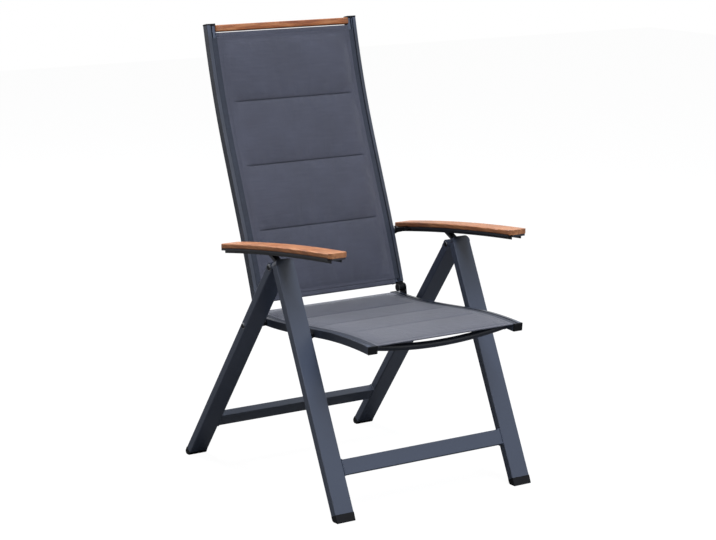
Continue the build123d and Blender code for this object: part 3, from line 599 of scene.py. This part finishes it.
# %% Set the sling's sizes
FREE_HALF = 200.7 * MM
CLOTH_HALF = 215.4 * MM
EDGE_OFF = 7.7 * MM
TAPE_FROM = FREE_HALF - 0.5 * MM
SKIN_HALF = 1.35 * MM
SEAM_STOP = 23.0 * MM
SQUARE = 6.0 * MM
PANELS = 4
NEAR_ROWS = (0.0, 0.9 * MM, 2.2 * MM, 4.5 * MM, 8.0 * MM)
HELD_BORDER, HELD_END, HELD_SEAM = 12 * MM, 13 * MM, 0.5 * MM
CROWN_BORDER, CROWN_END, CROWN_RISE = 10 * MM, 11 * MM, 34 * MM
SEAM_FADE, PINCH_FADE, PINCH_REACH = 12 * MM, 5 * MM, 1.5 * MM
ROUNDNESS, PINCH_DEPTH, FOLD_SHARE = 0.42, 0.6, 0.45


# %% Draw the flat blank
def sling_blank(name, line, low, high):
    """Closed flat form of a sling. Returns (object, grid places, seam rows)."""
    across = 2 * round(CLOTH_HALF / SQUARE)
    xs = [CLOTH_HALF * (2 * i / across - 1) for i in range(across + 1)]
    stops = [low + (high - low) * k / PANELS for k in range(PANELS + 1)]
    ss = []
    for a, b in zip(stops, stops[1:]):
        inner = b - a - 2 * NEAR_ROWS[-1]
        count = round(inner / SQUARE)
        ss += [a + d for d in NEAR_ROWS]
        ss += [a + NEAR_ROWS[-1] + inner * i / count for i in range(1, count)]
        ss += [b - d for d in NEAR_ROWS[:0:-1]]
    ss.append(high)
    rows = len(ss) - 1
    verts, uvs = [], []
    for face in (1, -1):
        for s in ss:
            for x in xs:
                y, z = beside(line, s, EDGE_OFF + face * SKIN_HALF)
                verts.append((x, y, z))
                uvs.append((x, s))
    wide = across + 1
    layer = wide * (rows + 1)
    faces = []
    for j in range(rows):
        for i in range(across):
            a = j * wide + i
            top = (a, a + 1, a + 1 + wide, a + wide)
            faces.append(top)
            faces.append(tuple(layer + v for v in reversed(top)))
    rim = [*range(across)] + [j * wide + across for j in range(rows)]
    rim += [rows * wide + i for i in range(across, 0, -1)]
    rim += [j * wide for j in range(rows, 0, -1)]
    for a, b in zip(rim, rim[1:] + rim[:1]):
        faces.append((b, a, layer + a, layer + b))
    mesh = bpy.data.meshes.new(name)
    mesh.from_pydata(verts, [], faces)
    uv_map = mesh.uv_layers.new(name="cloth_metres")
    for corner in mesh.loops:
        uv_map.data[corner.index].uv = uvs[corner.vertex_index]
    shape = bmesh.new()
    shape.from_mesh(mesh)
    bmesh.ops.recalc_face_normals(shape, faces=shape.faces)
    take_shape(mesh, shape)
    item = link_object(name, mesh)
    return item, uvs, stops[1:-1]


# %% Say which points the thread holds
def held(x, s, low, high, seams):
    """How firmly a point of the cloth is held, from 0 to 1."""
    if abs(x) - (FREE_HALF - HELD_BORDER) > 0 or min(s - low, high - s) < HELD_END:
        return 1.0
    near = min(abs(s - seam) for seam in seams)
    if near < HELD_SEAM and abs(x) < FREE_HALF - SEAM_STOP:
        return 1.0
    return 0.0


# %% Blow up the panels
CLOTH_FRAMES = 16


def inflate(item, uvs, low, high, seams, pressure):
    """Run the cloth on a blank, with its seams and borders held, and apply it."""
    group = item.vertex_groups.new(name="held")
    for index, (x, s) in enumerate(uvs):
        weight = held(x, s, low, high, seams)
        if weight:
            group.add([index], weight, "REPLACE")
    cloth = item.modifiers.new("cloth", "CLOTH")
    settings = cloth.settings
    settings.quality = 5
    settings.mass = 0.25
    settings.tension_stiffness = 22
    settings.compression_stiffness = 14
    settings.shear_stiffness = 8
    settings.bending_stiffness = 1.5
    settings.use_pressure = True
    settings.uniform_pressure_force = pressure
    settings.effector_weights.gravity = 0
    settings.vertex_group_mass = "held"
    settings.shrink_min = -0.012
    cloth.collision_settings.use_collision = False
    cloth.point_cache.frame_start = 1
    cloth.point_cache.frame_end = CLOTH_FRAMES
    for step in range(1, CLOTH_FRAMES + 1):
        bpy.context.scene.frame_set(step)
    graph = bpy.context.evaluated_depsgraph_get()
    done = bpy.data.meshes.new_from_object(item.evaluated_get(graph))
    pressed = np.zeros(len(done.vertices) * 3)
    done.vertices.foreach_get("co", pressed)
    bpy.data.meshes.remove(done)
    item.modifiers.clear()
    bpy.context.scene.frame_set(1)
    return pressed.reshape(-1, 3)


# %% Fade towards a seam's ends
def seam_share(x, fade):
    """Share of a seam's effect: 1 along the seam, down to 0 over a fade before its end."""
    return min(max((FREE_HALF - SEAM_STOP - abs(x)) / fade, 0.0), 1.0)


# %% Shape the sewn crown
def crown(x, s, low, high, seams):
    """Height share of the foam at a place, from 0 at a seam or border to 1."""
    stops = [low + CROWN_END, *seams, high - CROWN_END]
    if s <= stops[0] or s >= stops[-1] or abs(x) >= FREE_HALF - CROWN_BORDER:
        return 0.0
    first, last = next((a, b) for a, b in zip(stops, stops[1:]) if a <= s <= b)
    reach = min((FREE_HALF - CROWN_BORDER - abs(x)) / CROWN_RISE, 1.0)
    ease = math.sin(reach * math.pi / 2)
    middle = (last - first) / 2
    bow = 1 - ((s - first) / middle - 1) ** 2
    seam_fade = seam_share(x, SEAM_FADE)
    rounded = bow ** ROUNDNESS
    open_ends = 1 - (1 - rounded) * seam_fade
    at_end = first == stops[0] and s < first + middle or last == stops[-1] and s > last - middle
    return ease * (rounded if at_end else open_ends)


# %% Pinch the seam
def pinch(x, s, seams):
    """How deep the thread pulls a place in, from 0 to 1."""
    near = min(abs(s - seam) for seam in seams)
    return math.exp(-((near / PINCH_REACH) ** 2)) * seam_share(x, PINCH_FADE)


# %% Limit the foam and keep the folds
def fill_panels(item, line, uvs, low, high, seams, up, down, crease_shade_strength, pressed):
    """Move the blank's points to the foam's thickness, with the cloth's own folds on top."""
    mesh = item.data
    shade = mesh.attributes.new("seam_shade", "FLOAT", "POINT")
    layer = len(uvs) // 2
    flat = np.array([v.co for v in mesh.vertices])
    wide = np.array(uvs)
    folds = np.zeros(len(uvs))
    if pressed is not None:
        for index in range(len(uvs)):
            s = wide[index][1]
            ya, za = beside(line, s, EDGE_OFF)
            yb, zb = beside(line, s, EDGE_OFF + MM)
            normal = np.array((0, yb - ya, zb - za)) / MM
            side = 1 if index < layer else -1
            folds[index] = float((pressed[index] - flat[index]) @ normal) * side
        tops = [np.percentile(part[part > 1e-5], 90) if (part > 1e-5).any() else 1.0
                for part in (folds[:layer], folds[layer:])]
        folds[:layer] /= tops[0]
        folds[layer:] /= tops[1]
    for index, (x, s) in enumerate(uvs):
        top = index < layer
        share = crown(x, s, low, high, seams)
        if pressed is not None:
            soft = math.tanh(max(folds[index], 0.0) * 1.15)
            share = share * (1 - FOLD_SHARE) + soft * FOLD_SHARE * (share > 0)
        pulled = pinch(x, s, seams)
        skin = SKIN_HALF * (1 - PINCH_DEPTH * pulled)
        off = EDGE_OFF + (skin + share * up if top else -skin - share * down)
        y, z = beside(line, s, off)
        mesh.vertices[index].co = (x, y, z)
        # Painted shade: how far the thread pulls the cloth in, scaled by a strength, marks the
        # crease that the cloth's material darkens.
        shade.data[index].value = pulled * crease_shade_strength
    print(item.name, "rows hold a crown of", up / MM, "mm")


# %% Make both slings
def make_sling(name, node, line, low, high, up, down, crease_shade_strength, pressure):
    """Simulated sling that stands for a padded CAD solid."""
    item, uvs, seams = sling_blank(name, line, low, high)
    pressed = None
    pressed = inflate(item, uvs, low, high, seams, pressure)
    fill_panels(item, line, uvs, low, high, seams, up, down, crease_shade_strength, pressed)
    for face in item.data.polygons:
        face.use_smooth = True
    smooth = item.modifiers.new("finer_cloth", "SUBSURF")
    smooth.levels = smooth.render_levels = 1
    apply_modifiers(item)
    item.data.materials.clear()
    item.data.materials.append(mesh_cloth)
    item.data.materials.append(edge_tape)
    for face in item.data.polygons:
        face.material_index = int(abs(face.center.x) > TAPE_FROM)
    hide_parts(node)
    print(name, len(item.data.polygons), "faces")
    return item, seams


SEAT_LOW, SEAT_HIGH = 0.6 * MM, 516.4 * MM
BACK_LOW, BACK_HIGH = 7.6 * MM, 676.4 * MM
# The value before the pressure sets the painted shade in the seam creases: a tenth on the seat,
# full on the back.
seat_sling, seat_seams = make_sling("seat_padded_sling", "seat_pad", SEAT_LINE,
                                    SEAT_LOW, SEAT_HIGH, 4.6 * MM, 3.2 * MM, 0.1, 4.0)
back_sling, back_seams = make_sling("back_padded_sling", "back_pad", BACK_LINE,
                                    BACK_LOW, BACK_HIGH, 8.5 * MM, 3.2 * MM, 1.0, 4.0)
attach(seat_sling, "seat_frame")
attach(back_sling, "back_frame")

# %% [markdown]
# ## Hems and the wooden bar
# At its top and bottom the back's cloth is folded round a cross tube, so the
# tube shows as a narrow sleeve of cloth. The hardwood bar above it has well
# rounded edges. All three are one outline, a rounded rectangle, drawn at a place
# on the back's line and carried across the chair.


# %% Carry a rounded rectangle across the chair
def cross_piece(name, line, low, high, half_depth, corner, reach, finish):
    """Bar from -reach to reach along X, between two places on a line."""
    rim = []
    for s, n, start in ((high - corner, half_depth - corner, 0),
                        (low + corner, half_depth - corner, 1),
                        (low + corner, corner - half_depth, 2),
                        (high - corner, corner - half_depth, 3)):
        for step in range(6):
            turn = (start + step / 5) * math.pi / 2
            rim.append((s + corner * math.cos(turn), n + corner * math.sin(turn)))
    rim.reverse()
    order = [beside(line, s, n) for s, n in rim]
    cuts = stretch(-reach, reach, 24)
    verts = [(x, y, z) for x in cuts for y, z in order]
    size = len(order)
    round_way = [0.0]
    for a, b in zip(order, order[1:] + order[:1]):
        round_way.append(round_way[-1] + math.dist(a, b))
    faces, uvs = [], []
    for k in range(len(cuts) - 1):
        for i in range(size):
            j = (i + 1) % size
            faces.append((k * size + i, k * size + j, (k + 1) * size + j, (k + 1) * size + i))
            for cut, way in ((k, i), (k, i + 1), (k + 1, i + 1), (k + 1, i)):
                uvs.append((cuts[cut], round_way[way]))
    for k in (0, len(cuts) - 1):
        faces.append(tuple(k * size + i for i in range(size)))
        uvs += [(0.0, 0.0)] * size
    mesh = bpy.data.meshes.new(name)
    mesh.from_pydata(verts, [], faces)
    uv_map = mesh.uv_layers.new(name="cloth_metres")
    for corner_data, uv in zip(uv_map.data, uvs):
        corner_data.uv = uv
    shape = bmesh.new()
    shape.from_mesh(mesh)
    bmesh.ops.recalc_face_normals(shape, faces=shape.faces)
    for face in shape.faces:
        face.smooth = len(face.verts) == 4
    take_shape(mesh, shape)
    mesh.materials.append(finish)
    item = link_object(name, mesh)
    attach(item, "back_frame")
    print(name, len(mesh.polygons), "faces")
    return item


# %% Divide a length
def stretch(low, high, count):
    """Evenly spaced values from low to high."""
    return [low + (high - low) * i / count for i in range(count + 1)]


# %% Fold the hems and lay the bar
HEM_REACH = 200.4 * MM
for name, low in (("back_lower_hem", -4.0 * MM), ("back_upper_hem", 673.0 * MM)):
    hem = cross_piece(name, BACK_LINE, low - 0.6 * MM, low + 15.6 * MM, 7.7 * MM, 3.0 * MM,
                      HEM_REACH, hem_cloth)
bar_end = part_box("back_top_bar")[1][0]
bar = cross_piece("back_wooden_bar", BACK_LINE, 691.5 * MM, 708.0 * MM, 10.5 * MM, 3.2 * MM,
                  bar_end, bar_wood)
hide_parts("back_top_bar")

# %% [markdown]
# ## Sewing
# A seam is a row of stitches about 3 mm long with a short gap between them.
# Thousands of them are alike and follow a line, which is work for Geometry
# Nodes: one small stitch is drawn once, and the tree sets it along a path. The
# path comes from rays shot at the finished cloth, so each stitch lies on the
# real surface. The result is turned into a plain mesh, because a part that
# leaves this file can't take its node tree along.


# %% Build a tree that sets beads along a path
def bead_tree(name, material, segments, rings):
    """Geometry tree: path mesh in, long beads out, with named sizes in metres."""
    tree = bpy.data.node_groups.new(name, "GeometryNodeTree")
    face = tree.interface
    face.new_socket("Geometry", in_out="INPUT", socket_type="NodeSocketGeometry")
    for label, value in (("Pitch", 0.004), ("Length", 0.003), ("Thickness", 0.0007),
                         ("Uneven", 0.1)):
        socket = face.new_socket(label, in_out="INPUT", socket_type="NodeSocketFloat")
        socket.default_value = value
    face.new_socket("Geometry", in_out="OUTPUT", socket_type="NodeSocketGeometry")
    start = add(tree, "NodeGroupInput")
    line = add(tree, "GeometryNodeMeshToCurve", None, Mesh=start.outputs["Geometry"])
    points = add(tree, "GeometryNodeCurveToPoints", {"mode": "LENGTH"},
                 Curve=line.outputs[0], Length=start.outputs["Pitch"])
    bead = add(tree, "GeometryNodeMeshUVSphere", None, Segments=segments, Rings=rings,
               Radius=0.5)
    size = add(tree, "ShaderNodeCombineXYZ", None, X=start.outputs["Thickness"],
               Y=start.outputs["Thickness"], Z=start.outputs["Length"])
    low = maths(tree, "SUBTRACT", 1.0, start.outputs["Uneven"])
    high = maths(tree, "ADD", 1.0, start.outputs["Uneven"])
    chance = add(tree, "FunctionNodeRandomValue", {"data_type": "FLOAT"},
                 Min=low.outputs[0], Max=high.outputs[0], Seed=7)
    scale = add(tree, "ShaderNodeVectorMath", {"operation": "SCALE"}, in_0=size.outputs[0],
                Scale=chance.outputs[1])
    placed = add(tree, "GeometryNodeInstanceOnPoints", None, Points=points.outputs[0],
                 Instance=bead.outputs[0], Rotation=points.outputs["Rotation"],
                 Scale=scale.outputs[0])
    real = add(tree, "GeometryNodeRealizeInstances", None, Geometry=placed.outputs[0])
    soft = add(tree, "GeometryNodeSetShadeSmooth", None, Geometry=real.outputs[0])
    finish = add(tree, "GeometryNodeSetMaterial", None, Geometry=soft.outputs[0],
                 Material=material)
    end = add(tree, "NodeGroupOutput")
    tree.links.new(finish.outputs[0], end.inputs[0])
    return tree


# %% Turn paths into beads
def beads_along(name, paths, tree, sizes, body):
    """One plain mesh of beads along several paths, riding on a body."""
    mesh = bpy.data.meshes.new(name)
    verts, edges = [], []
    for path in paths:
        first = len(verts)
        verts.extend(path)
        edges.extend((first + i, first + i + 1) for i in range(len(path) - 1))
    mesh.from_pydata(verts, edges, [])
    item = link_object(name, mesh)
    nodes = item.modifiers.new("beads", "NODES")
    nodes.node_group = tree
    for socket in tree.interface.items_tree:
        if socket.in_out == "INPUT" and socket.name in sizes:
            nodes[socket.identifier] = sizes[socket.name]
    apply_modifiers(item)
    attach(item, body)
    print(name, len(item.data.polygons), "faces")


# %% Lay a path on the cloth
def on_cloth(item, line, places, face):
    """Points on a sling's skin below (across, along) places, on its upper or lower face."""
    mesh = item.data
    tree = BVHTree.FromPolygons([v.co for v in mesh.vertices],
                                [tuple(f.vertices) for f in mesh.polygons])
    path = []
    for x, along in places:
        base = Vector((x, *beside(line, along, EDGE_OFF)))
        out = Vector((x, *beside(line, along, EDGE_OFF + 20 * MM * face)))
        hit = tree.ray_cast(out, (base - out).normalized(), 0.05)[0]
        if hit is not None:
            path.append(hit + (out - base).normalized() * 0.12 * MM)
    return path


# %% Sew both slings
thread_tree = bead_tree("row_of_stitches", thread, 5, 3)
STITCH = {"Pitch": 4.2 * MM, "Length": 3.2 * MM, "Thickness": 0.8 * MM, "Uneven": 0.08}
SEAM_HALF = FREE_HALF - SEAM_STOP
SIDE_ROW = FREE_HALF - 10 * MM
HEM_DEPTH = 12 * MM


def sew(item, line, low, high, seams, name, body):
    """Stitches along every seam, border and hem of one sling."""
    rows = []
    for face in (1, -1):
        for seam in seams:
            rows.append([(x, seam) for x in stretch(-SEAM_HALF, SEAM_HALF, 70)])
        for side in (-1, 1):
            rows.append([(side * SIDE_ROW, s)
                         for s in stretch(low + HEM_DEPTH, high - HEM_DEPTH, 90)])
        for s in (low + HEM_DEPTH, high - HEM_DEPTH):
            rows.append([(x, s) for x in stretch(-SIDE_ROW, SIDE_ROW, 70)])
    half = len(rows) // 2
    paths = [on_cloth(item, line, row, 1 if k < half else -1) for k, row in enumerate(rows)]
    beads_along(name, paths, thread_tree, STITCH, body)


sew(seat_sling, SEAT_LINE, SEAT_LOW, SEAT_HIGH, seat_seams, "seat_stitches", "seat_frame")
sew(back_sling, BACK_LINE, BACK_LOW, BACK_HIGH, back_seams, "back_stitches", "back_frame")

# %% [markdown]
# ## Welds
# The crossbars and the cross tubes are welded to the legs and rails by hand,
# before the frame is painted. A hand weld is a row of overlapping drops 3 to
# 4 mm wide, laid round the end of the tube. The same tree makes it, with short
# fat beads, on a path that is read from the outline of each tube's end.


# %% Read the outline of a tube's end
def end_outline(node, side, out):
    """Closed path round a CAD tube at its lowest or highest X, a little outside it."""
    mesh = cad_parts[node].data
    xs = [v.co.x for v in mesh.vertices]
    edge = max(xs) if side > 0 else min(xs)
    flat = [Vector((v.co.y, v.co.z)) for v in mesh.vertices if abs(v.co.x - edge) < 2.5 * MM]
    ring = [flat[i] for i in geometry.convex_hull_2d(flat)]
    centre = sum(ring, Vector((0, 0))) / len(ring)
    path = []
    for a, b in zip(ring, ring[1:] + ring[:1]):
        steps = max(1, int((b - a).length / (1.5 * MM)))
        for i in range(steps):
            p = a + (b - a) * i / steps
            p = p + (p - centre).normalized() * out
            path.append(Vector((edge - side * 0.9 * MM, p.x, p.y)))
    return path + path[:1]


# %% Weld the tubes
weld_tree = bead_tree("row_of_weld_drops", tube_coat, 8, 6)
WIDE = {"Pitch": 2.4 * MM, "Length": 3.6 * MM, "Thickness": 4.2 * MM, "Uneven": 0.14}
FINE = {"Pitch": 2.0 * MM, "Length": 2.8 * MM, "Thickness": 2.8 * MM, "Uneven": 0.14}
for node, sizes, body in (
    ("front_crossbar", WIDE, "front_frame"),
    ("rear_crossbar", WIDE, "rear_frame"),
    ("back_upper_band", FINE, "back_frame"),
    ("back_lower_band", FINE, "back_frame"),
    ("seat_front_tube", FINE, "seat_frame"),
    ("seat_rear_tube", FINE, "seat_frame"),
):
    rings = [end_outline(node, side, 0.2 * MM) for side in (-1, 1)]
    beads_along(f"{node}_welds", rings, weld_tree, sizes, body)

# %% [markdown]
# ## Screw heads
# The bolts of the legs are low button heads with a hexagon socket. A lathe
# shape gives the button. Its innermost ring is a hexagon, which is carried
# down to make the socket. A CAD bolt is plain, so each one is replaced by this
# finer one, with the same place and size.


# %% Turn a button head with a hexagon socket
SHANK = 4.0 * MM
BUTTON_SHARES = ((1.0, 0.30), (0.93, 0.62), (0.78, 0.90), (0.62, 1.0))
SOCKET_SHARE, SOCKET_FLOOR = 0.46, 0.25


def button_bolt(shape, place, x_face, outward, radius, height, x_end):
    """Add one bolt along X to an unfinished mesh: a head with a socket, and its shank."""
    y, z = place
    count = 24

    def ring(r, x, hexagon=False):
        points = []
        for i in range(count):
            a = 2 * math.pi * i / count
            reach = r
            if hexagon:
                reach = r * math.cos(math.pi / 6) / math.cos((a % (math.pi / 3)) - math.pi / 6)
            spot = (x, y + reach * math.cos(a), z + reach * math.sin(a))
            points.append(shape.verts.new(spot))
        return points

    rings = [ring(SHANK, x_end), ring(SHANK, x_face), ring(radius, x_face)]
    for wide, tall in BUTTON_SHARES:
        rings.append(ring(radius * wide, x_face + outward * height * tall))
    for tall in (1.0, SOCKET_FLOOR):
        rings.append(ring(radius * SOCKET_SHARE, x_face + outward * height * tall, True))
    for a, b in zip(rings, rings[1:]):
        for i in range(count):
            j = (i + 1) % count
            shape.faces.new((a[i], a[j], b[j], b[i]))
    shape.faces.new(rings[0])
    shape.faces.new(rings[-1])


# %% Make the leg bolts
def bolt_set(name, node, bolts, body):
    """Bolts of one CAD node, as one piece."""
    shape = bmesh.new()
    for bolt in bolts:
        button_bolt(shape, *bolt)
    bmesh.ops.recalc_face_normals(shape, faces=shape.faces)
    mesh = bpy.data.meshes.new(name)
    take_shape(mesh, shape)
    for polygon in mesh.polygons:
        polygon.use_smooth = False
    mesh.materials.append(bolt_steel)
    item = link_object(name, mesh)
    bevel = item.modifiers.new("worn_edges", "BEVEL")
    bevel.width = 0.25 * MM
    bevel.segments = 2
    bevel.limit_method = "ANGLE"
    bevel.angle_limit = math.radians(40)
    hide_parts(node)
    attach(item, body)
    print(name, len(mesh.polygons), "faces")


# %% Place the leg bolts
APEX = (SHIFT, 566 * MM)
OUTER_FACE, INNER_FACE, APEX_END, SEAT_END = 291 * MM, 238 * MM, 264 * MM, 226 * MM
low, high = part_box("seat_bolts")
SEAT_PIVOT = tuple((a + b) / 2 for a, b in zip(low[1:], high[1:]))
HEAD = 6.6 * MM
HEIGHT = 2.8 * MM
apex_set, seat_set = [], []
for side in (-1, 1):
    apex_set.append((APEX, side * OUTER_FACE, side, HEAD, HEIGHT, side * APEX_END))
    apex_set.append((APEX, side * INNER_FACE, -side, HEAD, HEIGHT, side * APEX_END))
    seat_set.append((SEAT_PIVOT, side * OUTER_FACE, side, HEAD, HEIGHT, side * SEAT_END))
bolt_set("apex_socket_bolts", "apex_bolts", apex_set, "front_frame")
bolt_set("seat_socket_bolts", "seat_bolts", seat_set, "rear_frame")

# %% [markdown]
# ## Cast leg tops and foot caps
# The cap on each front leg is a casting, and the sand mould leaves its front
# edge well rounded, so it catches a soft band of light. The foot caps are
# moulded with round corners too. The CAD solids have these edges sharp. Each
# mesh is copied, the edges to round are found by their place, and only these
# get a round bevel, so that the joints to the tubes stay tight.


# %% Round chosen edges of a copy
def rounded_copy(node, name, wanted, width, finish, body):
    """Copy of a CAD part whose wanted sharp edges are rounded. It replaces the part."""
    shape = bmesh.new()
    shape.from_mesh(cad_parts[node].data)
    bmesh.ops.remove_doubles(shape, verts=shape.verts, dist=0.005 * MM)
    bmesh.ops.dissolve_limit(shape, angle_limit=math.radians(1.0), verts=shape.verts,
                             edges=shape.edges)
    rim = [edge for edge in shape.edges
           if edge.calc_face_angle(0) > math.radians(40) and wanted(edge.verts)]
    bmesh.ops.bevel(shape, geom=rim, offset=width, offset_type="OFFSET", segments=5,
                    profile=0.5, affect="EDGES", clamp_overlap=True)
    for edge in shape.edges:
        edge.smooth = edge.calc_face_angle(0) < math.radians(32)
    for face in shape.faces:
        face.smooth = True
    mesh = bpy.data.meshes.new(name)
    take_shape(mesh, shape)
    mesh.materials.append(finish)
    item = link_object(name, mesh)
    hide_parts(node)
    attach(item, body)
    print(name, "has", len(rim), "edges rounded and", len(mesh.polygons), "faces")


# %% Round the castings
FRONT_LEAN = 24.5
FRONT_HEADING = math.radians(270 - FRONT_LEAN)
DOWN_LEG = Vector((0, math.cos(FRONT_HEADING), math.sin(FRONT_HEADING)))
OUT_OF_LEG = Vector((0, math.sin(FRONT_HEADING), -math.cos(FRONT_HEADING)))
APEX_POINT = Vector((0, *APEX))
FRONT_FACE = 22.4 * MM + 10.5 * MM
ARC_END = 3.5 * MM


def front_rim(verts):
    """Whether an edge lies round the top of the leg's front face."""
    places = [v.co - APEX_POINT for v in verts]
    return all(abs(p.dot(OUT_OF_LEG) - FRONT_FACE) < 0.3 * MM and p.dot(DOWN_LEG) < ARC_END
               for p in places)


for side in ("left", "right"):
    rounded_copy(f"front_head_{side}", f"front_head_{side}_casting", front_rim, 4.5 * MM,
                 cast_coat, "front_frame")

# %% Round the foot caps
LEG_SIDES = (238 * MM, 290 * MM)
CAP_TOP, CORNER_TOP = 16.5 * MM, 17.5 * MM


def cap_rim(verts):
    """Whether an edge lies round the sole or up a corner of a foot cap."""
    sole = all(v.co.z < 0.3 * MM for v in verts)
    corner = min(v.co.z for v in verts) < CAP_TOP and any(
        all(abs(abs(v.co.x) - x) < 0.2 * MM and v.co.z < CORNER_TOP for v in verts)
        for x in LEG_SIDES)
    return sole or corner


for end in ("front", "rear"):
    rounded_copy(f"{end}_foot_caps", f"{end}_foot_mouldings", cap_rim, 3.4 * MM, nylon,
                 f"{end}_frame")
